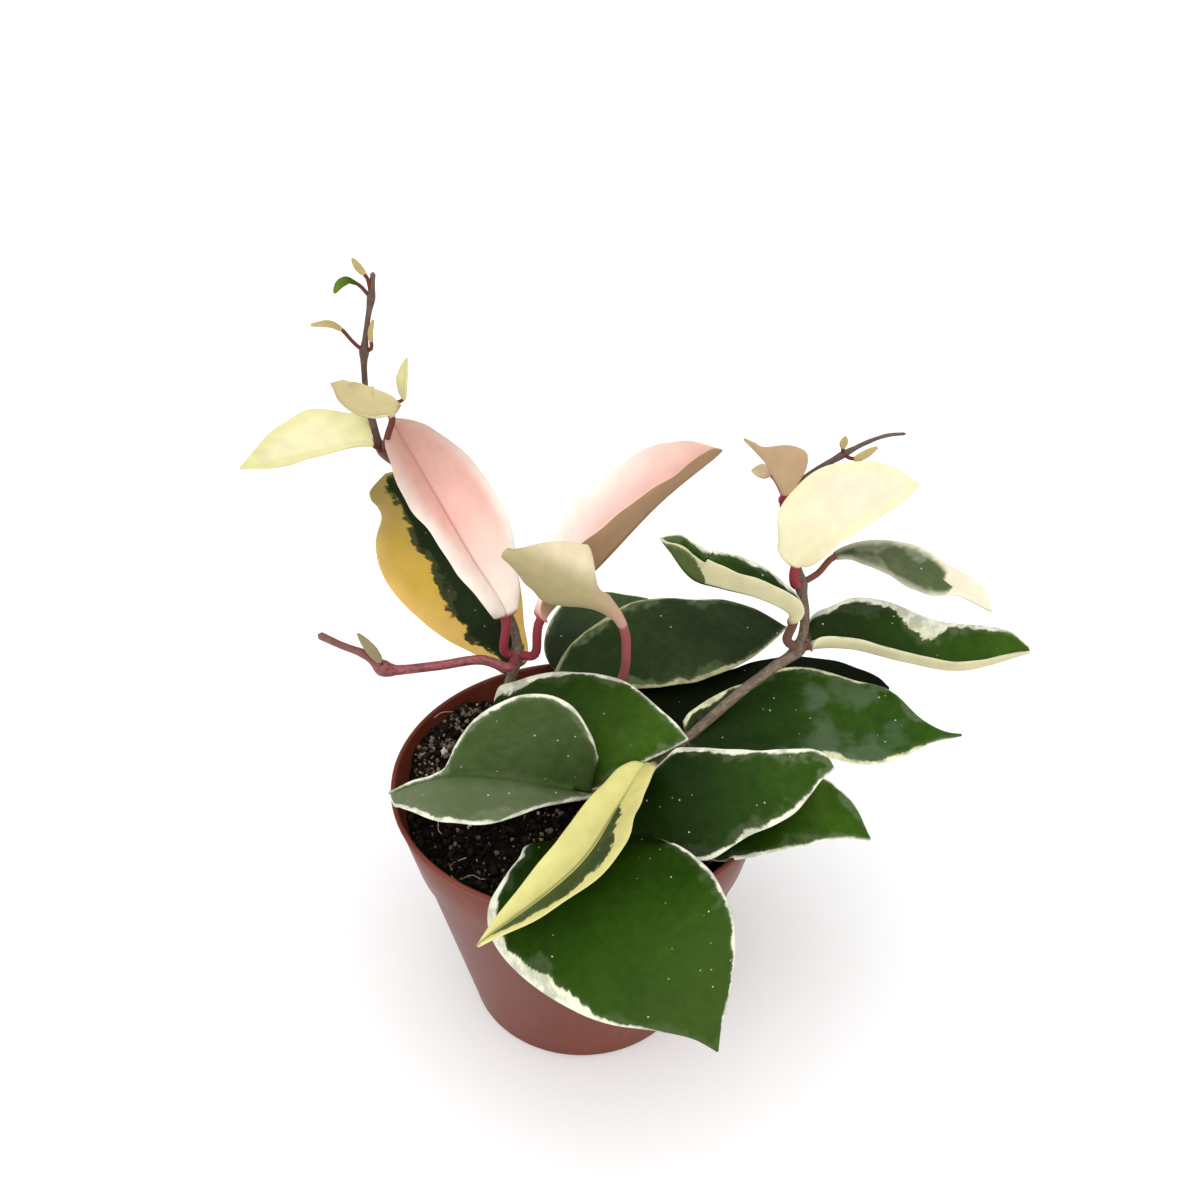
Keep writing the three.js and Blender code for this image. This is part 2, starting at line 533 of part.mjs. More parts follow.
addPiece("pot", potGeometry(), finish(POT_BROWN, PLASTIC_ROUGHNESS));
addPiece("soil", soilGeometry([STEM_LEFT, STEM_RIGHT, STEM_MIDDLE]), finish(SOIL_BROWN, SOIL_ROUGHNESS));
addPiece("stem_left", tubeGeometry(STEM_LEFT), finish(BARK_BROWN, BARK_ROUGHNESS));
addPiece("stem_right", tubeGeometry(STEM_RIGHT), finish(BARK_BROWN, BARK_ROUGHNESS));
addPiece("stem_middle", tubeGeometry(STEM_MIDDLE), finish(BARK_BROWN, BARK_ROUGHNESS));
addPiece("red_shoot", tubeGeometry(RED_SHOOT), finish(SHOOT_RED, SHOOT_ROUGHNESS));
for (const leaf of LEAVES) {
  addPiece(leaf.name, leafGeometry(leaf), finish(leaf.color, LEAF_ROUGHNESS));
}

export default plant;
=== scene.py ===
"""The looks of a young variegated wax plant (Hoya) in a thin-walled nursery pot.

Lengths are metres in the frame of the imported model: the origin is the centre of the pot's underside,
+Z is up, +X is to the right and -Y to the front. Angles in the tables are degrees.
"""
import math
import random

import bmesh
import bpy
import numpy as np
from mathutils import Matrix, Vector, noise


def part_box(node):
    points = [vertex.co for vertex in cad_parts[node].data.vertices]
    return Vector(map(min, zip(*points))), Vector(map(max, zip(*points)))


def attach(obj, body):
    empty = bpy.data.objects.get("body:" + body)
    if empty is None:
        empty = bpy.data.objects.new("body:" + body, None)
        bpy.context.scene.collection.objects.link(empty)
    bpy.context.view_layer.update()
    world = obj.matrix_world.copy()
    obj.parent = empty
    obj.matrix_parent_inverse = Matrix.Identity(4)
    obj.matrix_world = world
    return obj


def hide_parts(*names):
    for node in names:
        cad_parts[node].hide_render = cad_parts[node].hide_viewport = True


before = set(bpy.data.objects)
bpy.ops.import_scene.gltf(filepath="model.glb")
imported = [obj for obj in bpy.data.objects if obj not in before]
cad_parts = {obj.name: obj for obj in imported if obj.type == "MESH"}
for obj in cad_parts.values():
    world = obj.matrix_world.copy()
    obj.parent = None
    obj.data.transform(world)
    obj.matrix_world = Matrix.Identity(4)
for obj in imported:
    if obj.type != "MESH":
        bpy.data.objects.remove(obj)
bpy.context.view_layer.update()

BODY = "root"

# Pot
POT_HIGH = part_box("pot")[1]
POT_HEIGHT = POT_HIGH.z
POT_RIM_RADIUS = POT_HIGH.x
POT_BASE_RADIUS = 0.034
POT_WALL = 0.0012
POT_LIP_RADIUS = POT_WALL * 0.62
POT_COLLAR_FOOT = POT_HEIGHT - 0.020
POT_COLLAR_STEP = 0.0013
POT_COLLAR_CHAMFER = 0.0003
POT_COLLAR_CHAMFER_HEIGHT = 0.0004
POT_FLARE = 0.0001
POT_FLARE_HEIGHT = 0.0008
POT_LIP_BEAD = 0.0003
POT_LIP_DEPTH = 0.0022
POT_EDGE_ROUNDING = 0.0015
POT_STAND_RADIUS = POT_BASE_RADIUS - 0.0055
POT_RECESS_RADIUS = POT_BASE_RADIUS - 0.006
POT_RECESS_HEIGHT = 0.0004
POT_SIDES = 144
DRAIN_HOLES = 6
DRAIN_HOLE_RADIUS = 0.004
DRAIN_CIRCLE_RADIUS = 0.023
DRAIN_EDGE_ANGLE = 40

# Soil
SOIL_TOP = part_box("soil")[1].z - 0.0015
SOIL_MOUND = 0.0015
SOIL_MOUND_SPREAD = 0.034
SOIL_HEAP = 0.009
SOIL_HEAP_PLACE = (-0.040, 0.024)
SOIL_HEAP_SPREAD = 0.027
SOIL_SIDES = 180
SOIL_RINGS = 64
SOIL_LUMP = 0.0016
SOIL_LUMPS_PER_METRE = 130
SOIL_CRUMBS_PER_METRE = 420
SOIL_CRUMB_SHARE = 0.45
SOIL_GAP = 0.00025
GRAIN_ROUGHNESS = 0.28
GRAIN_SINK = 0.3

# Roots: where they start on the soil, and how they wander, with a turn in radians after each step. One
# more clings to the pot's wall above the soil, at an angle in degrees.
ROOT_STARTS = (
    (-0.030, -0.024), (-0.024, -0.031), (-0.036, -0.016), (-0.020, -0.034), (-0.038, 0.006),
    (-0.030, 0.020), (-0.022, 0.030), (0.026, 0.022), (0.030, -0.022), (0.012, 0.036),
)
ROOT_STEP = 0.0019
ROOT_STEPS = (6, 10)
ROOT_LEAST_STEPS = 4
ROOT_TURN = 0.7
ROOT_REACH = 0.045
ROOT_LIFT = 0.0009
ROOT_LIFT_SPREAD = 0.0005
ROOT_RADII = (0.00013, 0.00022)
ROOT_SIDES = 7
ROOT_RING_STEP = 0.0012
WALL_ROOT_STEPS = 9
WALL_ROOT_START = 150
WALL_ROOT_TURN = 2.2
WALL_ROOT_TOP = 0.0785
WALL_ROOT_DROP = 0.0005
WALL_ROOT_WAVE = 0.0006
WALL_ROOT_RADIUS = 0.0002

# Stems, each point (x, y, z, radius), from the foot in the soil to the tip
STEM_LEFT = (
    (-0.026, 0.012, 0.058, 0.0016), (-0.025, 0.013, 0.072, 0.0016), (-0.023, 0.015, 0.089, 0.0019),
    (-0.020, 0.018, 0.098, 0.0015), (-0.018, 0.0205, 0.105, 0.0020), (-0.019, 0.023, 0.113, 0.0013),
    (-0.031, 0.033, 0.131, 0.0013), (-0.047, 0.041, 0.151, 0.0012), (-0.054, 0.042, 0.158, 0.0016),
    (-0.056, 0.043, 0.166, 0.0010), (-0.057, 0.0435, 0.173, 0.0010), (-0.0568, 0.043, 0.180, 0.0008),
    (-0.0560, 0.042, 0.1862, 0.0013), (-0.0544, 0.0415, 0.1936, 0.0007), (-0.0525, 0.041, 0.2008, 0.0011),
    (-0.0517, 0.040, 0.2045, 0.0007), (-0.0511, 0.040, 0.2078, 0.0007),
)
STEM_RIGHT = (
    (-0.003, -0.014, 0.058, 0.0017), (-0.002, -0.014, 0.070, 0.0017), (0.005, -0.010, 0.079, 0.0020),
    (0.012, -0.007, 0.083, 0.0015), (0.020, -0.005, 0.0865, 0.0020), (0.0265, -0.0028, 0.0910, 0.0019),
    (0.044, 0.006, 0.103, 0.0014), (0.053, 0.011, 0.1075, 0.0015), (0.060, 0.015, 0.111, 0.0022),
    (0.0615, 0.018, 0.119, 0.0013), (0.060, 0.0215, 0.128, 0.0019), (0.057, 0.024, 0.140, 0.0011),
    (0.0545, 0.026, 0.151, 0.0015), (0.058, 0.027, 0.156, 0.0008), (0.069, 0.029, 0.163, 0.0010),
    (0.075, 0.030, 0.166, 0.0006), (0.080, 0.030, 0.168, 0.0005), (0.085, 0.030, 0.1685, 0.0004),
)
STEM_MIDDLE = (
    (-0.006, 0.027, 0.058, 0.0016), (-0.005, 0.028, 0.072, 0.0016), (-0.004, 0.028, 0.084, 0.0019),
    (0.000, 0.024, 0.088, 0.0014), (0.006, 0.016, 0.090, 0.0018), (0.009, 0.012, 0.0905, 0.0013),
)
RED_SHOOT = (
    (-0.018, 0.0205, 0.105, 0.0013), (-0.020, 0.013, 0.106, 0.0014), (-0.027, 0.013, 0.1085, 0.0014),
    (-0.039, 0.011, 0.108, 0.0013), (-0.051, 0.009, 0.108, 0.0015), (-0.0535, 0.0085, 0.109, 0.0023),
    (-0.0573, 0.007, 0.1144, 0.0013), (-0.0633, 0.0055, 0.1187, 0.0010), (-0.0685, 0.004, 0.1231, 0.0011),
)
STEM_SIDES = 24
STEM_STEP = 0.0007
NODE_SPREAD = 0.0024
BARK_RIDGE = 0.00007
RIDGES_PER_METRE = 500
RIDGES_AROUND = 2.2
RED_SKIN_RIDGE = 0.00003

# Joints: the stem points that leaves grow from
LEFT_LOW_PAIR = STEM_LEFT[2][:3]
LEFT_PINK_PAIR = STEM_LEFT[4][:3]
LEFT_PALE_PAIR = STEM_LEFT[8][:3]
LEFT_SMALL_LEAF = STEM_LEFT[10][:3]
LEFT_UPPER_PAIR = STEM_LEFT[12][:3]
LEFT_TOP_PAIR = STEM_LEFT[14][:3]
RIGHT_FOOT = STEM_RIGHT[1][:3]
RIGHT_LOW_PAIR = STEM_RIGHT[2][:3]
RIGHT_CREAM_PAIR = STEM_RIGHT[4][:3]
RIGHT_WIDE_PAIR = STEM_RIGHT[5][:3]
RIGHT_FIRST_PAIR = STEM_RIGHT[8][:3]
RIGHT_SECOND_PAIR = STEM_RIGHT[10][:3]
RIGHT_THIRD_PAIR = STEM_RIGHT[12][:3]
RIGHT_TIP_PAIR = STEM_RIGHT[14][:3]
MIDDLE_LOW_PAIR = STEM_MIDDLE[2][:3]
MIDDLE_KHAKI_LEAF = STEM_MIDDLE[4][:3]
SHOOT_BUD = RED_SHOOT[5][:3]

# Leaves
STALK_RADIUS = 0.0013
SMALL_STALK_RADIUS = 0.0005
BLADE_THICKNESS = 0.0013
SMALL_BLADE_THICKNESS = 0.0009
TIP_THICKNESS_SHARE = 0.6
TIP_HALF_WIDTH = 0.0003
STALK_FADE_POWER = 4
FOLD_FADE_POWER = 40
SIDE_SMOOTHING = 4
STALK_STEP = 0.0012
SMALL_LEAF_LENGTH = 0.025
BLADE_STATIONS = 60
SMALL_BLADE_STATIONS = 28
ACROSS_STEPS = 12
ROLL_STEPS = 6
RIB_GROOVE = 0.00035
RIB_GROOVE_WIDTH = 0.0011
GROOVED_HALF_WIDTH = 0.005
BLADE_SECTION_POWER = 6.0
STALK_SECTION_POWER = 2.0
BLADE_WAVE = 0.0003
WAVED_HALF_WIDTH = 0.008
OUTLINE_WAVE = 0.012
PLAIN_WIDEST_PLACE = 0.45
PLAIN_FOOT_POWER = 0.6
PLAIN_TIP_POWER = 0.9

# The ragged inner edge of the pale margin: how far it strays at least, and its share of the margin's
# width up to a limit
LEAST_JAG = 0.0006
JAG_SHARE = 0.9
JAG_LIMIT = 0.004

# Pale margins wider and narrower than any blade
ALL_PALE = 1.0
ALL_GREEN = -0.01

# Colours, as linear red, green and blue
DARK_GREEN = (0.010, 0.021, 0.004)
OLIVE_GREEN = (0.026, 0.043, 0.014)
GREY_GREEN = (0.090, 0.118, 0.055)
PALE_GREEN = (0.36, 0.39, 0.24)
CREAM = (0.78, 0.76, 0.52)
WHITE_CREAM = (0.82, 0.82, 0.66)
KHAKI = (0.46, 0.39, 0.22)
CRIMSON = (0.30, 0.045, 0.06)
RED_BROWN = (0.16, 0.045, 0.035)
WHITE = (1, 1, 1)

# Patterns of the skins, in waves or cells a metre
EDGE_STREAKS = 620
EDGE_BAYS = 150
LAYER_PATCHES = 95
LAYER_GRAIN = 700
GREEN_CLOUDS = 42
GREEN_FRECKLES = 380
PAINTED_SHEEN_PATCHES = 110
BLUSH_CLOUDS = 60
DULL_PATCHES = 210
SKIN_TONES = 240
MARK_CELLS = 560
SKIN_PORES = 2600
SKIN_WAVES = 210
GLOSS_PATCHES = 150
BARK_FIBRES = 1700
BARK_PATCHES = 260
POT_CLOUDS = 24
POT_GRAIN = 1400
POT_DUST = 160
PEAT_CRUMBS = 900
PEAT_LUMPS = 170
PEAT_FLECKS = 620

# The floor's paper glows by itself, as in an overexposed studio photograph
FLOOR_GLOW = 0.14
FLOOR_REACH = 6.0

# Strength of the sky at its dimmest, low behind the plant, and at its brightest. Lamps: the way each
# shines, its strength and its spread in degrees.
SKY_DIM = 0.15
SKY_BRIGHT = 1.0
LAMPS = {
    "key": ((0.25, 0.3, -1.0), 0.82, 85),
    "fill": ((-0.5, 0.5, -0.9), 0.45, 80),
    "rim": ((0.1, -0.6, -1.0), 0.2, 60),
}

# Camera: its lens and sensor are in millimetres, its tilt in degrees from looking straight down
CAMERA_PLACE = (0.0054, -0.2505, 0.2966)
CAMERA_TILT = 57.4
CAMERA_LENS = 35.25
CAMERA_SENSOR = 36


def half(*outline, tip=0, folds=(0, 0), pale=ALL_PALE, roll=(1.0, 0.0)):
    """One half of a blade, from (place along the blade, half width) points between its foot, where it
    has no width, and its tip. Folds are degrees towards the side that the blade faces, near the midrib
    and at the margin, or (place, near the midrib, at the margin) rows. Pale is how wide the pale margin
    is, as a number or (place, width) points. Roll is where between midrib and margin a roll of the
    margin starts, and by how many degrees it bends on."""
    return {
        "outline": ((0, 0), *outline, (1, tip)),
        "folds": folds if isinstance(folds[0], tuple) else ((0, *folds),),
        "pale": pale if isinstance(pale, tuple) else ((0, pale),),
        "roll": roll,
    }


def plain_half(width, foot=PLAIN_FOOT_POWER, **settings):
    """One half of a simple blade, from its greatest half width. A foot power under 1 blunts its foot."""
    return {**half(**settings), "outline": None, "width": width, "foot": foot}


def small_leaf(widths, fold=0, pale=ALL_PALE, **settings):
    """A thin simple leaf, from the greatest half widths of its left and right halves."""
    left, right = (plain_half(width, folds=(fold, fold), pale=pale) for width in widths)
    return dict(
        settings, left=left, right=right, thickness=SMALL_BLADE_THICKNESS, stalk_radius=SMALL_STALK_RADIUS,
    )


# Leaves: the joint that each grows from, the way it faces, the points that its stalk and blade pass,
# and its two halves. Left and right are seen from above with the tip pointing away.
LEAVES = (
    dict(
        name="leaf_pink_left", joint=LEFT_PINK_PAIR, look="pink", face=(0.35, -0.8, 0.45),
        stalk=((-0.0212, 0.0185, 0.1075),),
        blade=(
            (-0.0207, 0.019, 0.1187), (-0.03, 0.027, 0.1328), (-0.0403, 0.036, 0.1484),
            (-0.0511, 0.0435, 0.1664),
        ),
        left=half(
            (0.01, 0.002), (0.03, 0.0032), (0.07, 0.0052), (0.15, 0.007), (0.25, 0.0086), (0.35, 0.0097),
            (0.54, 0.0115), (0.65, 0.0131), (0.75, 0.0131), (0.85, 0.0109), (0.93, 0.0074), (0.97, 0.0036),
            folds=(60, 45),
        ),
        right=half(
            (0.01, 0.0024), (0.03, 0.0034), (0.15, 0.0079), (0.25, 0.0113), (0.35, 0.0135), (0.5, 0.015),
            (0.65, 0.0145), (0.75, 0.0129), (0.85, 0.0101), (0.93, 0.0068), (0.97, 0.004), tip=0.001,
            folds=(5, 0),
        ),
    ),
    dict(
        name="leaf_pink_right", joint=LEFT_PINK_PAIR, look="shell", face=(-0.25, -0.8, 0.5),
        stalk=((-0.0131, 0.0185, 0.1063),),
        blade=(
            (-0.0108, 0.018, 0.1187), (0.0049, 0.025, 0.1321), (0.0218, 0.034, 0.147),
            (0.0386, 0.041, 0.1587),
        ),
        left=half(
            (0.01, 0.0014), (0.03, 0.002), (0.07, 0.0032), (0.15, 0.0088), (0.25, 0.013), (0.35, 0.015),
            (0.5, 0.016), (0.65, 0.0143), (0.75, 0.0131), (0.85, 0.0101), (0.93, 0.0065), (0.97, 0.0028),
            folds=(0, 5),
        ),
        right=half(
            (0.01, 0.0015), (0.03, 0.0032), (0.07, 0.0055), (0.15, 0.009), (0.25, 0.0126), (0.35, 0.0147),
            (0.46, 0.0133), (0.54, 0.011), (0.65, 0.0079), (0.75, 0.0064), (0.85, 0.0058), (0.93, 0.005),
            (0.97, 0.0035), folds=(105, 105),
        ),
    ),
    dict(
        name="leaf_khaki", joint=MIDDLE_KHAKI_LEAF, look="khaki", face=(-0.45, 0.85, 0),
        stalk=((0.0117, 0.019, 0.098), (0.0127, 0.017, 0.109)),
        blade=(
            (0.0116, 0.0137, 0.1192), (0.007, 0.01, 0.1285), (-0.0023, 0.005, 0.1369), (-0.0105, 0, 0.145),
            (-0.0182, -0.004, 0.1525),
        ),
        left=half(
            (0.02, 0.0002), (0.1, 0.0008), (0.25, 0.0022), (0.36, 0.0044), (0.41, 0.01), (0.45, 0.0123),
            (0.51, 0.0117), (0.6, 0.0104), (0.74, 0.0076), (0.81, 0.0059), (0.89, 0.0034), (0.95, 0.0018),
            (0.985, 0.0012), folds=(0, 30),
        ),
        right=half(
            (0.02, 0.0002), (0.1, 0.0009), (0.2, 0.0026), (0.28, 0.0044), (0.36, 0.0065), (0.44, 0.0098),
            (0.5, 0.0108), (0.54, 0.0099), (0.65, 0.0077), (0.75, 0.0056), (0.85, 0.0035), (0.93, 0.0021),
            (0.98, 0.0012), folds=(0, 45),
        ),
    ),
    dict(
        name="leaf_yellow", joint=LEFT_LOW_PAIR, look="yellow", face=(0, -0.85, 0.5),
        stalk=((-0.02, 0.021, 0.092),),
        blade=(
            (-0.021, 0.026, 0.095), (-0.033, 0.038, 0.113), (-0.046, 0.047, 0.131), (-0.056, 0.052, 0.146),
        ),
        left=half(
            (0.01, 0.001), (0.07, 0.0032), (0.15, 0.0063), (0.25, 0.0115), (0.35, 0.0148), (0.5, 0.0169),
            (0.65, 0.0157), (0.75, 0.0126), (0.83, 0.0075), (0.88, 0.0069), (0.94, 0.007), (0.98, 0.0048),
            folds=(-5, 5),
            pale=(
                (0, 0.003), (0.2, 0.0045), (0.33, 0.0085), (0.45, 0.0115), (0.6, 0.0128), (0.75, 0.009),
                (0.84, 0.004), (1, 0.005),
            ),
        ),
        right=half(
            (0.01, 0.004), (0.07, 0.0069), (0.15, 0.0094), (0.25, 0.0139), (0.35, 0.0169), (0.5, 0.019),
            (0.65, 0.017), (0.75, 0.0144), (0.85, 0.011), (0.93, 0.0074), (0.97, 0.0048), folds=(-5, 5),
            pale=0.002,
        ),
    ),
    dict(
        name="leaf_fold_left", joint=RIGHT_LOW_PAIR, look="grey", face=(0, -0.3, 0.95),
        blade=(
            (0.0027, -0.013, 0.0829), (-0.0143, -0.016, 0.0902), (-0.0358, -0.017, 0.0926),
            (-0.0502, -0.017, 0.0869),
        ),
        left=half(
            (0.03, 0.0006), (0.07, 0.0016), (0.15, 0.0036), (0.25, 0.0067), (0.35, 0.01), (0.46, 0.0132),
            (0.54, 0.0142), (0.65, 0.0135), (0.75, 0.0113), (0.85, 0.0079), (0.93, 0.0054), (0.98, 0.0032),
            folds=(-10, 0), pale=((0, 0.0005), (0.5, 0.0009), (0.8, 0.0016), (1, 0.0012)),
        ),
        right=half(
            (0.01, 0.007), (0.03, 0.0088), (0.07, 0.0105), (0.15, 0.0172), (0.25, 0.0234), (0.35, 0.0247),
            (0.46, 0.0223), (0.54, 0.0165), (0.6, 0.009), (0.64, 0.003), (0.7, 0.001), (0.85, 0.0008),
            folds=(66, 60), pale=((0, 0.0009), (0.5, 0.0011), (0.64, 0.0005), (1, 0.0005)),
        ),
    ),
    dict(
        name="leaf_arch", joint=LEFT_LOW_PAIR, look="green", face=(0, -0.5, 0.85),
        stalk=((-0.0265, 0.0105, 0.0895),),
        blade=(
            (-0.0255, 0.007, 0.0905), (-0.008, 0.004, 0.0945), (0.01, -0.001, 0.0965),
            (0.029, -0.006, 0.096),
        ),
        left=half(
            (0.01, 0.0065), (0.04, 0.0085), (0.1, 0.0105), (0.18, 0.0116), (0.25, 0.013), (0.35, 0.0141),
            (0.5, 0.0145), (0.65, 0.0133), (0.75, 0.0103), (0.85, 0.0065), (0.93, 0.0037),
            folds=((0, 38, 20), (0.2, 18, 6), (0.4, 10, 0), (1, 10, 0)),
            pale=((0, 0.0034), (0.25, 0.0022), (0.5, 0.0009), (1, 0.0004)),
        ),
        right=half(
            (0.03, 0.009), (0.1, 0.012), (0.25, 0.0163), (0.35, 0.0182), (0.46, 0.0186), (0.54, 0.0182),
            (0.65, 0.0159), (0.75, 0.0114), (0.85, 0.0069), (0.93, 0.0034), folds=(-10, -20),
            pale=((0, 0.0008), (1, 0.0005)),
        ),
    ),
    dict(
        name="leaf_cream_fold", joint=RIGHT_CREAM_PAIR, look="cream", face=(-0.2, -0.4, 0.9),
        stalk=((0.0191, -0.009, 0.0886),),
        blade=(
            (0.0173, -0.012, 0.0912), (0.0097, -0.028, 0.0915), (0.0001, -0.046, 0.0899),
            (-0.0228, -0.066, 0.0843),
        ),
        left=half(
            (0.01, 0.0015), (0.03, 0.0027), (0.07, 0.0042), (0.15, 0.0056), (0.25, 0.0068), (0.35, 0.0084),
            (0.46, 0.0104), (0.54, 0.0116), (0.65, 0.0114), (0.75, 0.0104), (0.85, 0.0076), (0.93, 0.0036),
            folds=(38, 38),
            pale=((0, 0.008), (0.3, 0.0078), (0.42, 0.0055), (0.6, 0.0035), (0.85, 0.0016), (1, 0.001)),
        ),
        right=half(
            (0.01, 0.002), (0.03, 0.0025), (0.07, 0.0033), (0.15, 0.0049), (0.25, 0.0059), (0.35, 0.0069),
            (0.5, 0.0075), (0.65, 0.0076), (0.75, 0.0066), (0.85, 0.0042), (0.93, 0.0022), folds=(30, 25),
        ),
    ),
    dict(
        name="leaf_front", joint=RIGHT_FOOT, look="broad", face=(0, -0.2, 1), tip_face=(0.1, -0.9, 0.3),
        stalk=((0, -0.022, 0.078),),
        blade=(
            (0.001, -0.03, 0.0825), (0.0035, -0.044, 0.086), (0.014, -0.062, 0.076),
            (0.0335, -0.072, 0.0545),
        ),
        left=half(
            (0.01, 0.012), (0.03, 0.016), (0.07, 0.0195), (0.15, 0.0215), (0.25, 0.0213), (0.35, 0.0215),
            (0.46, 0.024), (0.6, 0.0259), (0.68, 0.0255), (0.75, 0.0239), (0.85, 0.0172), (0.93, 0.0081),
            (0.97, 0.003), folds=(0, -5),
            pale=((0, 0.0005), (0.3, 0.0009), (0.7, 0.0012), (0.85, 0.001), (0.94, 0.0006), (1, -0.0005)),
        ),
        right=half(
            (0.01, 0.006), (0.05, 0.01), (0.1, 0.014), (0.2, 0.017), (0.28, 0.0215), (0.35, 0.0262),
            (0.46, 0.0278), (0.54, 0.0259), (0.65, 0.0205), (0.75, 0.0145), (0.85, 0.0072), (0.93, 0.0022),
            folds=(8, 8),
            pale=(
                (0, 0.0006), (0.2, 0.001), (0.35, 0.0018), (0.55, 0.003), (0.68, 0.0026), (0.78, 0.001),
                (0.86, 0), (1, -0.0005),
            ),
        ),
    ),
    dict(
        name="leaf_right_upper", joint=RIGHT_CREAM_PAIR, look="deep", face=(0, -0.4, 0.9),
        stalk=((0.0155, -0.011, 0.0835),),
        blade=(
            (0.014, -0.0168, 0.0832), (0.0313, -0.021, 0.091), (0.0489, -0.022, 0.0965),
            (0.0654, -0.02, 0.0981),
        ),
        left=half(
            (0.02, 0.004), (0.08, 0.0062), (0.14, 0.0083), (0.2, 0.0106), (0.26, 0.0132), (0.3, 0.0128),
            (0.35, 0.012), (0.54, 0.0092), (0.65, 0.0079), (0.75, 0.007), (0.85, 0.0063), (0.93, 0.0055),
            (0.97, 0.0043), (0.99, 0.0028),
            pale=((0, 0), (0.22, 0.0003), (0.27, 0.0016), (0.5, 0.0012), (1, 0.0008)), roll=(0.85, 60),
        ),
        right=half(
            (0.02, 0.006), (0.1, 0.01), (0.15, 0.012), (0.19, 0.0135), (0.24, 0.016), (0.29, 0.0176),
            (0.35, 0.0182), (0.46, 0.0158), (0.54, 0.014), (0.65, 0.0121), (0.75, 0.01), (0.85, 0.0058),
            (0.93, 0.0021), pale=((0, 0.0006), (0.3, 0.0006), (0.5, 0.0011), (0.85, 0.0009), (1, 0.0005)),
        ),
    ),
    dict(
        name="leaf_right_lower", joint=RIGHT_LOW_PAIR, look="green", face=(0, -0.3, 0.95),
        stalk=((0.012, -0.014, 0.08),),
        blade=(
            (0.024, -0.018, 0.0795), (0.0432, -0.023, 0.0836), (0.0596, -0.026, 0.085),
            (0.0755, -0.027, 0.08),
        ),
        left=half(
            (0.02, 0.004), (0.1, 0.0075), (0.3, 0.009), (0.46, 0.01), (0.54, 0.0115), (0.65, 0.0132),
            (0.75, 0.0137), (0.85, 0.0112), (0.93, 0.0065), (0.97, 0.0029), pale=((0, 0.0008), (1, 0.0004)),
        ),
        right=half(
            (0.02, 0.003), (0.08, 0.007), (0.15, 0.01), (0.25, 0.0123), (0.35, 0.0114), (0.46, 0.01),
            (0.54, 0.0084), (0.65, 0.0067), (0.75, 0.0043), (0.85, 0.0019), pale=((0, 0.0008), (1, 0.0003)),
        ),
    ),
    dict(
        name="leaf_right_wide", joint=RIGHT_WIDE_PAIR, look="deep_painted_sheen", face=(0, -0.4, 0.9),
        blade=(
            (0.029, -0.0025, 0.0918), (0.0435, -0.001, 0.0927), (0.0684, 0.001, 0.0925),
            (0.1045, 0.001, 0.0918),
        ),
        left=half(
            (0.01, 0.0052), (0.03, 0.0063), (0.07, 0.0081), (0.15, 0.0102), (0.25, 0.0131), (0.35, 0.0157),
            (0.46, 0.0181), (0.54, 0.0202), (0.65, 0.0202), (0.75, 0.0169), (0.85, 0.0118), (0.9, 0.005),
            (0.93, 0.0024), (0.97, 0.0004),
            pale=((0, 0.002), (0.4, 0.0013), (0.65, 0.0007), (0.8, 0.0002), (1, -0.0005)),
        ),
        right=half(
            (0.02, 0.003), (0.07, 0.006), (0.25, 0.0063), (0.35, 0.0073), (0.46, 0.0076), (0.54, 0.0064),
            (0.65, 0.0072), (0.75, 0.0095), (0.85, 0.0064), (0.93, 0.002),
            pale=((0, 0.0012), (0.6, 0.001), (0.7, 0.0013), (0.82, 0.0009), (0.92, 0.0003), (1, -0.0005)),
        ),
    ),
    dict(
        name="leaf_back_right", joint=RIGHT_WIDE_PAIR, look="shade", face=(0, -0.2, 1),
        stalk=((0.026, 0.004, 0.0875),),
        blade=((0.025, 0.012, 0.0855), (0.047, 0.02, 0.088), (0.068, 0.024, 0.091), (0.089, 0.022, 0.092)),
        left=half(
            (0.01, 0.012), (0.03, 0.016), (0.08, 0.018), (0.15, 0.017), (0.25, 0.015), (0.35, 0.0135),
            (0.46, 0.0135), (0.54, 0.0134), (0.65, 0.0126), (0.75, 0.0101), (0.85, 0.0074), (0.93, 0.0051),
            (0.97, 0.0031), pale=ALL_GREEN,
        ),
        right=plain_half(0.012, pale=ALL_GREEN),
    ),
    dict(
        name="leaf_middle_wide", joint=MIDDLE_LOW_PAIR, look="dark", face=(0, -0.25, 0.97),
        stalk=((-0.0055, 0.03, 0.0855),),
        blade=(
            (-0.0072, 0.0325, 0.0862), (0.016, 0.04, 0.097), (0.04, 0.045, 0.099), (0.062, 0.046, 0.097),
        ),
        left=half(
            (0.03, 0.001), (0.07, 0.0034), (0.15, 0.0081), (0.25, 0.0112), (0.35, 0.0133), (0.46, 0.0132),
            (0.54, 0.012), (0.65, 0.0103), (0.75, 0.0091), (0.85, 0.007), (0.93, 0.0041),
            pale=((0, 0.0016), (0.3, 0.0012), (0.5, 0.0005), (1, 0.0003)),
        ),
        right=half(
            (0.01, 0.008), (0.03, 0.01), (0.07, 0.011), (0.15, 0.013), (0.25, 0.0162), (0.35, 0.0198),
            (0.46, 0.0208), (0.54, 0.0205), (0.65, 0.0188), (0.75, 0.0163), (0.85, 0.0111), (0.93, 0.0058),
            pale=((0, 0.0008), (0.3, 0.0013), (0.7, 0.0011), (1, 0.0005)),
        ),
    ),
    dict(
        name="leaf_back", joint=MIDDLE_LOW_PAIR, look="slate", face=(0, -0.3, 1),
        stalk=((-0.0055, 0.0345, 0.083),),
        blade=((-0.004, 0.042, 0.081), (0.0038, 0.057, 0.0895), (0.021, 0.073, 0.09)),
        left=plain_half(0.013, folds=(0, 10), pale=0.0003, foot=0.5),
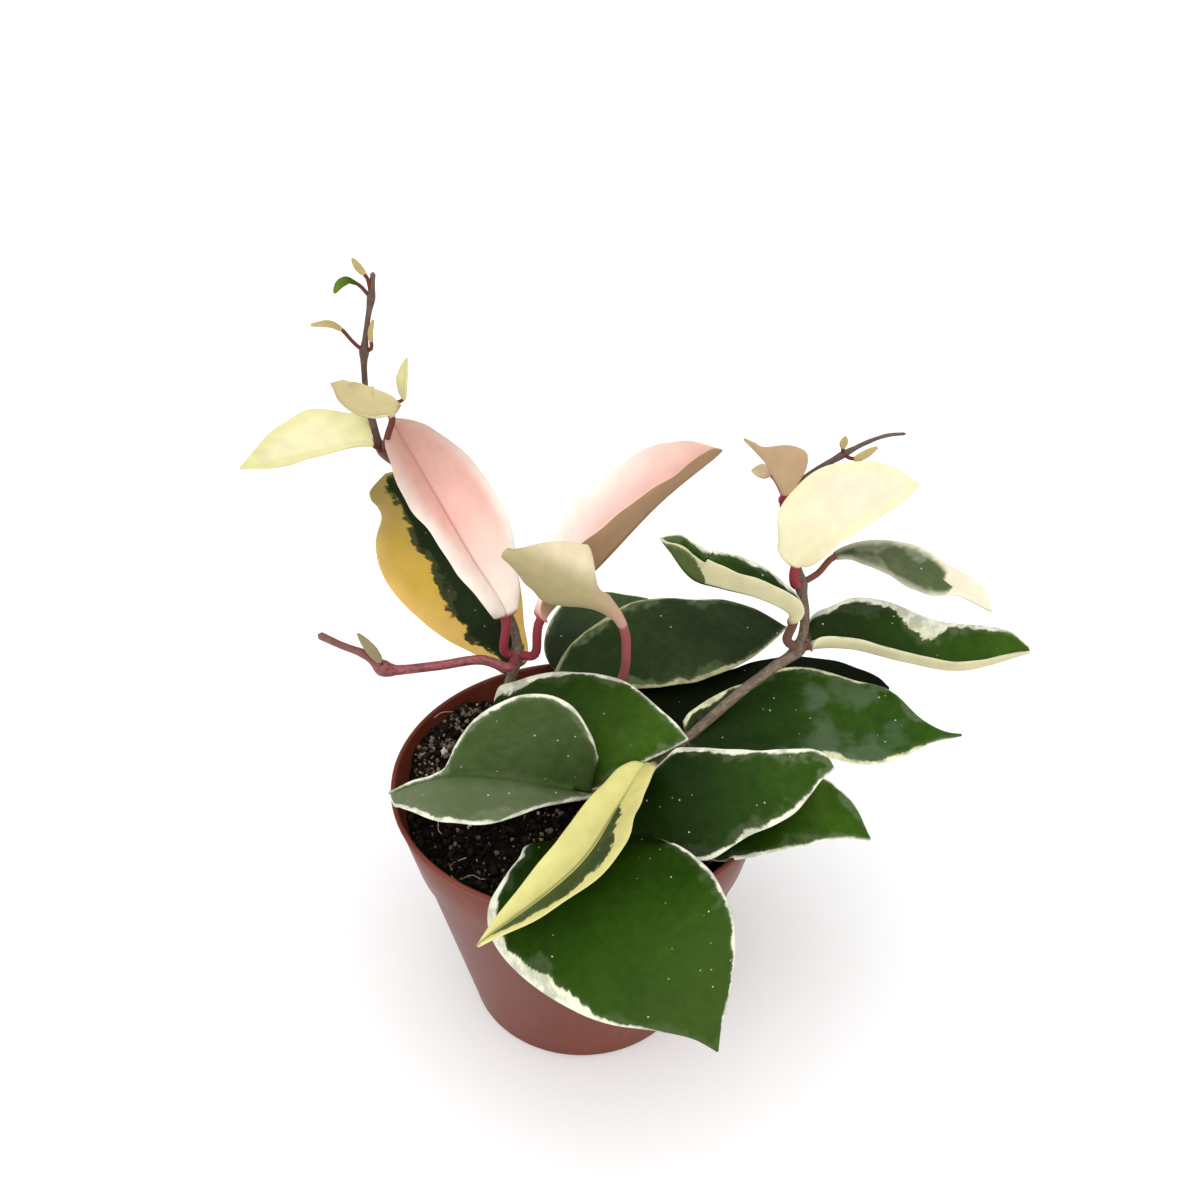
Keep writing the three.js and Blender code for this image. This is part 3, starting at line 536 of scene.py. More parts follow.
        right=plain_half(0.016, folds=(0, 10), pale=0.0003, foot=0.5),
    ),
    dict(
        name="leaf_first_right", joint=RIGHT_FIRST_PAIR, look="green", face=(0, -0.5, 0.85),
        blade=(
            (0.0628, 0.0147, 0.1122), (0.0741, 0.015, 0.1118), (0.0895, 0.014, 0.1079),
            (0.1046, 0.012, 0.1063), (0.1219, 0.01, 0.1133),
        ),
        left=half(
            (0.01, 0.0035), (0.03, 0.006), (0.07, 0.0079), (0.15, 0.01), (0.25, 0.0133), (0.35, 0.0144),
            (0.46, 0.014), (0.54, 0.0131), (0.65, 0.0127), (0.75, 0.0124), (0.85, 0.0108), (0.93, 0.008),
            (0.97, 0.0054), tip=0.0015, folds=(10, 15),
            pale=(
                (0, 0.001), (0.2, 0.0012), (0.4, 0.0016), (0.46, 0.0032), (0.56, 0.0058), (0.63, 0.0045),
                (0.68, 0.0012), (1, 0.0005),
            ),
        ),
        right=half(
            (0.02, 0.002), (0.07, 0.003), (0.2, 0.0034), (0.35, 0.0036), (0.54, 0.0035), (0.75, 0.0035),
            (0.85, 0.0025), (0.95, 0.001), folds=(90, 95),
        ),
    ),
    dict(
        name="leaf_first_left", joint=RIGHT_FIRST_PAIR, look="green", face=(0, -0.3, 0.95),
        stalk=((0.0563, 0.013, 0.1152),),
        blade=(
            (0.0572, 0.0125, 0.1225), (0.0478, 0.012, 0.129), (0.0371, 0.013, 0.1317),
            (0.0298, 0.015, 0.1333), (0.0213, 0.02, 0.1431),
        ),
        left=half(
            (0.02, 0.003), (0.07, 0.0045), (0.15, 0.0052), (0.35, 0.0063), (0.46, 0.0073), (0.65, 0.0088),
            (0.75, 0.0086), (0.85, 0.0074), (0.93, 0.0052), (0.97, 0.001), folds=(95, 95),
            pale=((0, 0.012), (0.6, 0.01), (0.68, 0.0062), (0.76, 0.0034), (0.84, 0.0008), (1, 0.0004)),
        ),
        right=half(
            (0.02, 0.003), (0.07, 0.0044), (0.15, 0.0057), (0.25, 0.0074), (0.35, 0.0087), (0.46, 0.0096),
            (0.54, 0.0092), (0.62, 0.0092), (0.7, 0.009), (0.78, 0.0086), (0.86, 0.0076), (0.93, 0.0056),
            (0.97, 0.0038), folds=(50, 40),
            pale=((0, 0.0006), (0.45, 0.001), (0.6, 0.0016), (0.75, 0.0009), (1, 0.0003)),
        ),
    ),
    dict(
        name="leaf_second_right", joint=RIGHT_SECOND_PAIR, look="haze", face=(0, -0.5, 0.85),
        stalk_radius=0.0009, stalk=((0.0645, 0.0225, 0.1305),),
        blade=(
            (0.069, 0.024, 0.135), (0.0799, 0.024, 0.1355), (0.093, 0.02, 0.1322), (0.1092, 0.01, 0.1265),
        ),
        left=half(
            (0.07, 0.0012), (0.15, 0.0022), (0.25, 0.0033), (0.46, 0.0052), (0.54, 0.0058), (0.65, 0.0056),
            (0.75, 0.0048), (0.85, 0.0047), (0.93, 0.0034), folds=(10, 15),
            pale=((0, 0.0002), (0.45, 0.0006), (0.6, 0.0014), (0.74, 0.0022), (0.82, 0.012), (1, 0.012)),
        ),
        right=half(
            (0.07, 0.0008), (0.15, 0.0015), (0.25, 0.003), (0.35, 0.0041), (0.54, 0.0054), (0.65, 0.0061),
            (0.75, 0.0051), (0.85, 0.001), (0.93, 0.0003),
            pale=((0, 0), (0.7, 0), (0.8, 0.0006), (0.84, 0.012), (1, 0.012)),
        ),
    ),
    dict(
        name="leaf_second_left", joint=RIGHT_SECOND_PAIR, look="ivory", face=(0, -0.85, 0.5),
        stalk=((0.0578, 0.018, 0.13),),
        blade=(
            (0.0572, 0.016, 0.1368), (0.0632, 0.0165, 0.1465), (0.0742, 0.019, 0.1517),
            (0.0883, 0.023, 0.1575),
        ),
        left=half(
            (0.01, 0.001), (0.03, 0.0031), (0.07, 0.0053), (0.15, 0.0076), (0.25, 0.0117), (0.35, 0.0134),
            (0.5, 0.0146), (0.65, 0.0139), (0.75, 0.0123), (0.85, 0.0094), (0.93, 0.0056), folds=(0, 5),
        ),
        right=half(
            (0.03, 0.0005), (0.07, 0.0022), (0.15, 0.0041), (0.25, 0.0055), (0.46, 0.0054), (0.65, 0.0043),
            (0.85, 0.0027), (0.93, 0.0018), folds=(30, 40),
        ),
    ),
    dict(
        name="leaf_third_left", joint=RIGHT_THIRD_PAIR, look="tan", face=(0.1, 0.9, -0.1),
        thickness=SMALL_BLADE_THICKNESS, stalk=((0.0535, 0.024, 0.1523),),
        blade=(
            (0.0538, 0.022, 0.1554), (0.0515, 0.0215, 0.16), (0.0487, 0.022, 0.1646),
            (0.0455, 0.023, 0.1675), (0.0421, 0.024, 0.1698),
        ),
        left=half(
            (0.07, 0.0022), (0.16, 0.0059), (0.24, 0.0078), (0.36, 0.0087), (0.45, 0.0072), (0.55, 0.0051),
            (0.64, 0.0024), (0.72, 0.001), (0.85, 0.0006), folds=(0, 10),
        ),
        right=plain_half(0.001),
    ),
    small_leaf(
        name="leaf_third_scrap", joint=RIGHT_THIRD_PAIR, look="khaki", face=(0, -0.8, 0.5),
        widths=(0.0016, 0.002),
        blade=((0.0506, 0.029, 0.157), (0.0453, 0.028, 0.159)),
    ),
    dict(
        name="leaf_pale_left", joint=LEFT_PALE_PAIR, look="lemon", face=(0, -0.5, 0.85),
        thickness=SMALL_BLADE_THICKNESS, stalk_radius=0.0008, stalk=((-0.0545, 0.0405, 0.159),),
        blade=(
            (-0.0557, 0.0388, 0.1613), (-0.0629, 0.037, 0.162), (-0.0736, 0.031, 0.1625),
            (-0.0854, 0.017, 0.165),
        ),
        left=half(
            (0.25, 0.0007), (0.46, 0.0018), (0.65, 0.0025), (0.75, 0.003), (0.85, 0.0028), (0.93, 0.0016),
        ),
        right=half(
            (0.01, 0.0035), (0.04, 0.0065), (0.09, 0.0086), (0.15, 0.0094), (0.25, 0.0104), (0.35, 0.0118),
            (0.5, 0.0132), (0.65, 0.0114), (0.75, 0.0086), (0.85, 0.0049), (0.93, 0.0023),
        ),
    ),
    dict(
        name="leaf_bowl", joint=LEFT_PALE_PAIR, look="bowl", face=(0, 0.2, 1),
        thickness=SMALL_BLADE_THICKNESS, stalk_radius=0.0009, stalk=((-0.0509, 0.036, 0.1655),),
        blade=(
            (-0.0492, 0.034, 0.1715), (-0.0536, 0.0332, 0.1713), (-0.0588, 0.0337, 0.1727),
            (-0.0628, 0.0354, 0.1755), (-0.0647, 0.038, 0.1792),
        ),
        left=half(
            (0.02, 0.004), (0.07, 0.0058), (0.16, 0.0076), (0.5, 0.008), (0.76, 0.0079), (0.84, 0.0075),
            (0.93, 0.0052), folds=(85, 90),
        ),
        right=half(
            (0.02, 0.0024), (0.07, 0.0032), (0.16, 0.0039), (0.5, 0.0042), (0.76, 0.0044), (0.84, 0.0044),
            (0.93, 0.0028), folds=(80, 88),
        ),
    ),
    small_leaf(
        name="leaf_upright", joint=LEFT_SMALL_LEAF, look="lemon", face=(-0.6, -0.4, 0.3),
        widths=(0.003, 0.003), fold=20, stalk=((-0.0533, 0.042, 0.1717), (-0.0497, 0.0425, 0.1718)),
        blade=((-0.0474, 0.0435, 0.1723), (-0.0464, 0.044, 0.1777), (-0.0457, 0.046, 0.183)),
    ),
    small_leaf(
        name="leaf_upper_left", joint=LEFT_UPPER_PAIR, look="bud", face=(0, -0.4, 0.9),
        widths=(0.0011, 0.0011), stalk=((-0.0584, 0.041, 0.1893), (-0.0599, 0.04, 0.192)),
        blade=((-0.0606, 0.039, 0.1934), (-0.0629, 0.0375, 0.1953), (-0.0674, 0.036, 0.1956)),
    ),
    small_leaf(
        name="leaf_upper_right", joint=LEFT_UPPER_PAIR, look="bud", face=(-0.5, -0.8, 0.2),
        widths=(0.0006, 0.0006), stalk=((-0.054, 0.0415, 0.1872),),
        blade=((-0.0536, 0.0405, 0.1897), (-0.0535, 0.04, 0.192), (-0.0523, 0.0395, 0.1956)),
    ),
    small_leaf(
        name="leaf_top_left", joint=LEFT_TOP_PAIR, look="sprout", face=(0, -0.4, 0.9),
        widths=(0.0013, 0.0013), pale=ALL_GREEN, stalk=((-0.0546, 0.0395, 0.2044),),
        blade=(
            (-0.0556, 0.0385, 0.2055), (-0.0572, 0.037, 0.2067), (-0.059, 0.0355, 0.2059),
            (-0.0602, 0.0345, 0.2042),
        ),
    ),
    small_leaf(
        name="leaf_top_right", joint=LEFT_TOP_PAIR, look="bud", face=(0.5, -0.8, 0.2),
        widths=(0.0008, 0.0008), stalk=((-0.0524, 0.039, 0.2061),),
        blade=((-0.053, 0.038, 0.2079), (-0.0542, 0.0375, 0.2098), (-0.0553, 0.037, 0.212)),
    ),
    small_leaf(
        name="bud_red_shoot", joint=SHOOT_BUD, look="olive", face=(0.6, -0.7, 0.2),
        widths=(0.0013, 0.0013),
        blade=((-0.0537, 0.007, 0.1122), (-0.0585, 0.006, 0.122)),
    ),
    small_leaf(
        name="bud_right_upper", joint=RIGHT_TIP_PAIR, look="bud", face=(0, -0.8, 0.2),
        widths=(0.0009, 0.0009),
        blade=((0.0685, 0.028, 0.1655), (0.0686, 0.027, 0.169)),
    ),
    small_leaf(
        name="bud_right_lower", joint=RIGHT_TIP_PAIR, look="bud", face=(0, -0.8, 0.4),
        widths=(0.0009, 0.0009),
        blade=((0.0715, 0.0265, 0.163), (0.077, 0.026, 0.1665)),
    ),
)

# How each look paints its leaves. Green is the middle of a blade, patch its lighter clouds and layer
# the grey-green coat between it and the pale margin, whose inner edge is as soft as soft says. The pair
# shade is painted shade and light along the blade: the green's brightness at the foot and at the tip.
# The tip_painted_light and left_painted_light paint light on the tip and on the left half, and
# painted_sheen paints reflections in patches, over the green. Pale is the margin, which turns to blush
# from the depth blush_depth inwards on its left and right, to the layer's colour in dull patches and
# to painted_tip_shade, a painted shade, towards the tip. Rib is the midrib's line, on the grey look a
# painted shade in the crease of its fold. Under is the underside's tint, under_left_painted_light that
# of its left half, on the khaki look painted lighter than the shaded right half, and under_green how
# much of the green shows through. Foot is a tint that fades out over foot_reach. Gloss is how strongly
# the wax mirrors.
GREEN_LOOK = dict(
    slot="leaf_green", green=(0.017, 0.050, 0.0015), patch=(0.040, 0.086, 0.004), pale=WHITE_CREAM,
    blush=CREAM, under=(0.66, 0.60, 0.36), stalk=(0.17, 0.08, 0.06), patch_share=0.7, roughness=0.42,
    dull=0.42, under_green=0.9,
)
DEEP_LOOK = dict(GREEN_LOOK, green=(0.011, 0.038, 0.001), patch=(0.026, 0.064, 0.003))
DARK_LOOK = dict(slot="leaf_dark_green", pale=PALE_GREEN, blush=CREAM, under=GREY_GREEN, stalk=OLIVE_GREEN)
GREY_LOOK = dict(
    slot="leaf_grey_green", under=PALE_GREEN, stalk=(0.20, 0.075, 0.05), roughness=0.42, under_green=0.9,
)
CREAM_LOOK = dict(slot="leaf_cream", under=(0.70, 0.66, 0.40), stalk=RED_BROWN)
PINK_LOOK = dict(slot="leaf_pink", under=(0.44, 0.27, 0.15), stalk=CRIMSON)
LOOKS = {
    "green": GREEN_LOOK,
    # The broad look's tip is painted lighter and greyer, as lit
    "broad": dict(
        GREEN_LOOK, green=(0.015, 0.047, 0.001), patch=(0.028, 0.073, 0.003), shade=(0.35, 1.45),
        tip_painted_light=(0.050, 0.085, 0.020), gloss=0.03,
    ),
    "deep": DEEP_LOOK,
    # The deep green with painted reflections in patches
    "deep_painted_sheen": dict(DEEP_LOOK, pale=(0.78, 0.80, 0.50), painted_sheen=(0.10, 0.15, 0.08)),
    "sprout": dict(
        GREEN_LOOK, green=(0.05, 0.11, 0.008), patch=(0.14, 0.20, 0.02), pale=(0.55, 0.55, 0.12),
        under=(0.10, 0.16, 0.02), stalk=(0.14, 0.06, 0.05), roughness=0.45, shade=(0.7, 1.6), dull=0,
        under_green=0,
    ),
    "dark": dict(DARK_LOOK, pale=(0.46, 0.44, 0.24), dull=0.42, under_green=0.9, shade=(1.8, 0.75)),
    "slate": dict(DARK_LOOK, green=(0.030, 0.055, 0.019), patch=(0.052, 0.080, 0.034)),
    # A leaf deep in the shade of the leaves above it, its green painted almost black with that shade
    "shade": dict(
        DARK_LOOK, green=(0.004, 0.008, 0.002), patch=(0.007, 0.012, 0.004), under=DARK_GREEN,
        roughness=0.5, gloss=0.03, shade=(1.0, 1.0),
    ),
    "haze": dict(
        GREY_LOOK, green=(0.070, 0.100, 0.032), patch=(0.17, 0.20, 0.11), pale=(0.82, 0.76, 0.58),
        blush=(0.80, 0.72, 0.52), patch_share=0.95, layer=(0.30, 0.33, 0.22), soft=0.0016, dull=0.12,
        shade=(0.6, 1.1),
    ),
    "grey": dict(
        GREY_LOOK, green=(0.045, 0.088, 0.018), patch=(0.088, 0.122, 0.045), pale=WHITE_CREAM,
        # The grey look's rib is a dark line painted as the shade in its fold's crease
        blush=(0.74, 0.68, 0.46), patch_share=0.9, layer=(0.20, 0.24, 0.14), rib=(0.035, 0.06, 0.02),
        # The grey look's tip and left flap are painted lighter, as lit
        dull=0.42, shade=(0.85, 1.1), tip_painted_light=(0.16, 0.19, 0.11), left_painted_light=(0.135, 0.158, 0.082),
    ),
    "cream": dict(
        slot="leaf_cream", green=(0.028, 0.050, 0.012), patch=(0.055, 0.085, 0.028),
        pale=(0.73, 0.68, 0.26), blush=(0.69, 0.64, 0.24), under=CREAM, stalk=(0.62, 0.55, 0.22),
        patch_share=0.9, roughness=0.42, rib=(0.05, 0.07, 0.02),
    ),
    "ivory": dict(CREAM_LOOK, pale=(0.84, 0.77, 0.50), blush=(0.88, 0.74, 0.55), stalk=CRIMSON),
    "lemon": dict(CREAM_LOOK, pale=(0.76, 0.72, 0.36), blush=(0.84, 0.78, 0.48)),
    "bowl": dict(CREAM_LOOK, pale=(0.78, 0.72, 0.44), blush=(0.60, 0.50, 0.26), under=(0.58, 0.49, 0.25)),
    # The pink and shell margins darken towards the tip with painted shade
    "pink": dict(
        PINK_LOOK, pale=(0.92, 0.82, 0.72), blush=(0.86, 0.49, 0.42), blush_depth=(0.0068, 0.004),
        painted_tip_shade=(0.50, 0.27, 0.21), rib=(0.55, 0.20, 0.18),
    ),
    "shell": dict(
        PINK_LOOK, pale=(0.92, 0.84, 0.76), blush=(0.88, 0.56, 0.50), blush_depth=(0.011, 0.006),
        painted_tip_shade=(0.74, 0.42, 0.34), rib=(0.60, 0.26, 0.22), foot=(0.74, 0.40, 0.33), foot_reach=(0.01, 0.09),
    ),
    # The khaki underside's upper, left half is painted lighter than its shaded lower half
    "khaki": dict(
        slot="leaf_khaki", pale=(0.62, 0.52, 0.32), blush=(0.50, 0.42, 0.24), under=(0.46, 0.38, 0.20),
        under_left_painted_light=(0.80, 0.69, 0.46), stalk=(0.42, 0.12, 0.12), roughness=0.48, foot=(0.60, 0.37, 0.27),
    ),
    "tan": dict(
        slot="leaf_tan", pale=(0.60, 0.44, 0.28), blush=(0.52, 0.37, 0.22), under=(0.47, 0.32, 0.18),
        stalk=CRIMSON, roughness=0.48,
    ),
    # The yellow darkens towards the tip with painted shade
    "yellow": dict(
        slot="leaf_yellow", pale=(0.82, 0.55, 0.155), blush=(0.70, 0.45, 0.065), painted_tip_shade=(0.30, 0.24, 0.09),
        under=(0.56, 0.42, 0.13), stalk=OLIVE_GREEN, roughness=0.48, layer=(0.09, 0.10, 0.035),
        under_green=0.7, shade=(0.8, 1.2),
    ),
    "olive": dict(
        slot="leaf_khaki", pale=(0.33, 0.27, 0.15), blush=(0.25, 0.21, 0.10), under=(0.24, 0.20, 0.09),
        stalk=RED_BROWN, roughness=0.5,
    ),
    "bud": dict(
        slot="leaf_khaki", pale=(0.50, 0.38, 0.16), blush=(0.38, 0.26, 0.10), under=KHAKI,
        stalk=RED_BROWN, roughness=0.5,
    ),
}


def unit(v):
    return v / np.maximum(np.linalg.norm(v, axis=-1, keepdims=True), 1e-12)


def blend(low, high, share):
    return low + (high - low) * share


def through(points, places):
    """Points on the smooth curve through points, at places counted in points: a centripetal
    Catmull-Rom curve, with a straight run beyond each end."""
    points = np.asarray(points, float)
    padded = np.vstack([2 * points[0] - points[1], points, 2 * points[-1] - points[-2]])
    before = np.minimum(places.astype(int), len(points) - 2)
    share = (places - before)[:, None]
    a, b, c, d = (padded[before + shift] for shift in range(4))
    ab, bc, cd = (np.sqrt(np.linalg.norm(q - p, axis=1))[:, None] for p, q in ((a, b), (b, c), (c, d)))
    leave = ((b - a) / ab - (c - a) / (ab + bc) + (c - b) / bc) * bc
    arrive = ((c - b) / bc - (d - b) / (bc + cd) + (d - c) / cd) * bc
    return (
        b + leave * share
        + (3 * (c - b) - 2 * leave - arrive) * share ** 2
        + (2 * (b - c) + leave + arrive) * share ** 3
    )


def directions(points):
    return unit(np.gradient(points, axis=0))


def lengths(points):
    """How far along the line of points each of them lies"""
    return np.concatenate([[0], np.cumsum(np.linalg.norm(np.diff(points, axis=0), axis=1))])


def smoothed(rows, reach):
    """Each row's mean with its neighbours up to reach rows away, so that directions turn softly"""
    padded = np.concatenate([rows[:1].repeat(reach, 0), rows, rows[-1:].repeat(reach, 0)])
    return sum(padded[shift: shift + len(rows)] for shift in range(2 * reach + 1)) / (2 * reach + 1)


def loft(rings):
    """Vertices and faces of the closed surface through rings of equal size, with a fan on each end."""
    count, sides = rings.shape[:2]
    vertices = np.vstack([rings.reshape(-1, 3), rings[0].mean(0), rings[-1].mean(0)])
    faces = []
    for ring in range(count - 1):
        for side in range(sides):
            here, there = ring * sides + side, ring * sides + (side + 1) % sides
            faces.append((here, there, there + sides, here + sides))
    first, last, start = count * sides, count * sides + 1, (count - 1) * sides
    for side in range(sides):
        following = (side + 1) % sides
        faces.append((first, following, side))
        faces.append((last, start + side, start + following))
    return vertices, faces


def linked_object(name, data):
    """A new object of the scene that shows data"""
    made = bpy.data.objects.new(name, data)
    bpy.context.scene.collection.objects.link(made)
    return made


def mesh_piece(name, vertices, faces, material, slot, replaced=(), attributes=None):
    mesh = bpy.data.meshes.new(name)
    mesh.from_pydata([tuple(v) for v in vertices], [], faces)
    mesh.polygons.foreach_set("use_smooth", [True] * len(mesh.polygons))
    for key, values in (attributes or {}).items():
        values = np.asarray(values, np.float32)
        if values.ndim == 2:
            mesh.attributes.new(key, "FLOAT_VECTOR", "POINT").data.foreach_set("vector", values.ravel())
        else:
            mesh.attributes.new(key, "FLOAT", "POINT").data.foreach_set("value", values)
    mesh.update()
    mesh.materials.append(material)
    piece = linked_object(name, mesh)
    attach(piece, BODY)
    if replaced:
        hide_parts(*replaced)
    return piece


class Graph:
    """The nodes of a material or world. Each method adds a node and gives back the socket that leaves
    it. The level of a noise lies mostly between 0.3 and 0.7."""

    def __init__(self, owner):
        self.owner = owner
        owner.use_nodes = True
        self.tree = owner.node_tree

    def put(self, socket, value):
        if isinstance(value, bpy.types.NodeSocket):
            self.tree.links.new(value, socket)
        elif isinstance(value, tuple) and len(value) == 3 and len(socket.default_value) == 4:
            socket.default_value = (*value, 1)
        else:
            socket.default_value = value

    def node(self, kind, output=0, sockets=None, **settings):
        node = self.tree.nodes.new(kind)
        for key, value in settings.items():
            setattr(node, key, value)
        for key, value in (sockets or {}).items():
            self.put(node.inputs[key], value)
        return node.outputs[output]

    def attribute(self, name, vector=False):
        return self.node("ShaderNodeAttribute", "Vector" if vector else "Fac", attribute_name=name)

    def place(self, kind="Object"):
        return self.node("ShaderNodeTexCoord", kind)

    def math(self, operation, first, second=0.0):
        return self.node("ShaderNodeMath", sockets={0: first, 1: second}, operation=operation)

    def times(self, first, second):
        return self.math("MULTIPLY", first, second)

    def ramp(self, value, low, high, to_low=0.0, to_high=1.0):
        """value's smooth climb from to_low, at low and below, to to_high, at high and above"""
        sockets = {"Value": value, "From Min": low, "From Max": high, "To Min": to_low, "To Max": to_high}
        return self.node("ShaderNodeMapRange", sockets=sockets, interpolation_type="SMOOTHSTEP")

    def mix(self, share, first, second, how="MIX"):
        sockets = {0: share, 6: first, 7: second}
        return self.node("ShaderNodeMix", 2, sockets, data_type="RGBA", blend_type=how)

    def shaded(self, color, brightness):
        return self.mix(1.0, color, self.joined(brightness, brightness, brightness), "MULTIPLY")

    def noise(self, place, scale, detail=2.0, roughness=0.5):
        sockets = {"Vector": place, "Scale": scale, "Detail": detail, "Roughness": roughness}
        return self.node("ShaderNodeTexNoise", "Fac", sockets)

    def cells(self, place, scale, output="Distance"):
        return self.node("ShaderNodeTexVoronoi", output, {"Vector": place, "Scale": scale})

    def few_cells(self, place, scale, size, rarity):
        """Up to 1 at the middle of a few cells of a cell pattern, and 0 elsewhere"""
        near = self.math("LESS_THAN", self.cells(place, scale), size)
        lot = self.parts(self.cells(place, scale, "Color"))
        picked = self.math("GREATER_THAN", lot[0], rarity)
        return self.times(self.times(near, picked), self.ramp(lot[1], 0.0, 1.0, 0.25, 1.0))

    def stretched(self, place, factors):
        return self.node("ShaderNodeVectorMath", sockets={0: place, 1: factors}, operation="MULTIPLY")

    def parts(self, vector):
        node = self.tree.nodes.new("ShaderNodeSeparateXYZ")
        self.put(node.inputs[0], vector)
        return node.outputs

    def joined(self, x, y, z):
        return self.node("ShaderNodeCombineXYZ", sockets={0: x, 1: y, 2: z})

    def bump(self, height, depth, strength=1.0, normal=None):
        sockets = {"Height": height, "Distance": depth, "Strength": strength}
        if normal is not None:
            sockets["Normal"] = normal
        return self.node("ShaderNodeBump", sockets=sockets)

    def finish(self, color, roughness, normal=None, **fixed):
        """The material, with its shader's sockets set"""
        shader = self.tree.nodes["Principled BSDF"]
        self.put(shader.inputs["Base Color"], color)
        self.put(shader.inputs["Roughness"], roughness)
        if normal is not None:
            self.put(shader.inputs["Normal"], normal)
        for key, value in fixed.items():
            shader.inputs[key.replace("_", " ")].default_value = value
        return self.owner


def material_graph(name):
    return Graph(bpy.data.materials.new(name))


def leaf_material(
    name, pale, blush, under, stalk, green=DARK_GREEN, patch=OLIVE_GREEN, patch_share=0.8,
    layer=GREY_GREEN, soft=0.0004, shade=(0.42, 1.45), tip_painted_light=None, left_painted_light=None, painted_sheen=None,
    blush_depth=(0.006, 0.006), dull=0, painted_tip_shade=None, rib=None, under_left_painted_light=None, under_green=0.0,
    foot=None, foot_reach=(0.1, 0.42), roughness=0.45, gloss=0.08,
):
    """Waxy variegated leaf skin, painted from what each vertex knows of its place on the leaf."""
    g = material_graph(name)
    place = g.attribute("place", vector=True)
    along, across, seed = g.parts(place)
    from_rib = g.math("ABSOLUTE", across)
    inside, jag, edge = g.attribute("inside"), g.attribute("jag"), g.attribute("edge")
    to_tip = g.attribute("to_tip")

    # The border between the green and the pale margin, ragged along streaks that lean to the tip
    slant = g.math("SUBTRACT", along, g.times(from_rib, 0.9))
    streaky = g.joined(slant, g.times(across, 0.45), seed)
    fine = g.math("SUBTRACT", g.noise(streaky, EDGE_STREAKS, 4, 0.65), 0.5)
    coarse = g.times(g.math("SUBTRACT", g.noise(place, EDGE_BAYS), 0.5), 2.2)
    level = g.math("ADD", inside, g.times(g.math("ADD", fine, coarse), jag))
    in_green = g.ramp(level, -soft, soft)

    # The green, with clouds, the grey-green layer along its border, freckles, and the painted shade, light
    # and reflections laid over it
    layer_depth = g.ramp(g.noise(place, LAYER_PATCHES, 3), 0.42, 0.7, 0.0, 0.0035)
    in_layer = g.ramp(g.math("SUBTRACT", level, layer_depth), -0.0004, 0.0016, 1.0, 0.0)
    in_layer = g.times(in_layer, g.ramp(g.noise(place, LAYER_GRAIN, 3, 0.6), 0.3, 0.6, 0.55, 1.0))
    clouds = g.ramp(g.noise(place, GREEN_CLOUDS), 0.3, 0.75, 0.0, patch_share)
    middle = g.mix(clouds, green, patch)
    middle = g.mix(g.times(in_layer, 0.6), middle, layer)
    freckles = g.ramp(g.noise(place, GREEN_FRECKLES, 4, 0.6), 0.3, 0.72, 0.88, 1.14)
    # Painted shade and light along the blade: the green as bright at the foot and at the tip as the look's
    # shade pair says
    middle = g.shaded(middle, g.times(freckles, g.ramp(to_tip, 0.08, 1.0, *shade)))
    # Painted light: a lighter, greyer tip
    if tip_painted_light:
        middle = g.mix(g.ramp(to_tip, 0.5, 0.9, 0.0, 0.6), middle, tip_painted_light)
    # Painted light: a lighter left half, the lit flap of a folded blade
    if left_painted_light:
        middle = g.mix(g.ramp(across, -0.004, 0.0, 0.5, 0.0), middle, left_painted_light)
    # Painted reflection: light grey-green patches over the outer middle of the blade
    if painted_sheen:
        painted_sheen_mask = g.times(g.ramp(to_tip, 0.52, 0.64), g.ramp(to_tip, 0.78, 0.92, 1.0, 0.0))
        painted_sheen_mask = g.times(painted_sheen_mask, g.ramp(g.noise(place, PAINTED_SHEEN_PATCHES, 3), 0.44, 0.6, 0.0, 0.55))
        middle = g.mix(painted_sheen_mask, middle, painted_sheen)

    # The pale margin, which may blush towards the midrib and darken towards the tip with painted shade
    depth = g.ramp(across, -0.002, 0.002, *blush_depth)
    core = g.times(g.ramp(edge, 0.0002, depth), g.ramp(to_tip, 0.05, 0.55))
    core = g.times(core, g.ramp(g.noise(place, BLUSH_CLOUDS), 0.2, 0.6, 0.65, 1.0))
    margin = g.mix(core, pale, blush)
    if dull:
        dulled = g.ramp(g.noise(place, DULL_PATCHES, 3, 0.6), 0.42, 0.62, 0.0, dull)
        margin = g.mix(dulled, margin, layer)
    # Painted shade: the margin darker towards the tip
    if painted_tip_shade:
        margin = g.mix(g.ramp(to_tip, 0.45, 1.0, 0.0, 0.85), margin, painted_tip_shade)
    tone = g.ramp(g.noise(place, SKIN_TONES, 3), 0.25, 0.75, 0.95, 1.05)
    skin = g.shaded(g.mix(in_green, margin, middle), tone)

    # The midrib's line, and the few pale specks and thin scratches of the green
    # On the grey look the midrib's line is a painted shade in the crease of its fold
    if rib:
        skin = g.mix(g.ramp(from_rib, 0.0001, 0.0009, 0.6, 0.0), skin, rib)
    speck = g.few_cells(place, MARK_CELLS, 0.13, 0.87)
    scratch = g.few_cells(g.joined(g.times(along, 0.3), across, seed), MARK_CELLS, 0.04, 0.94)
    marks = g.times(g.math("MAXIMUM", speck, scratch), in_green)
    skin = g.mix(g.times(marks, 0.65), skin, WHITE_CREAM)

    # The underside, the foot and the stalk
    below = under
    # Painted light and shade: the underside's left half lighter than the rest
    if under_left_painted_light:
        below = g.mix(g.ramp(across, -0.008, -0.001, 1.0, 0.0), under, under_left_painted_light)
    below = g.shaded(g.mix(g.times(in_green, under_green), below, middle), tone)
    skin = g.mix(g.attribute("underside"), skin, below)
    if foot:
        skin = g.mix(g.ramp(to_tip, *foot_reach, 1.0, 0.0), skin, foot)
    skin = g.mix(g.ramp(g.attribute("stalk"), 0.88, 0.99), skin, stalk)

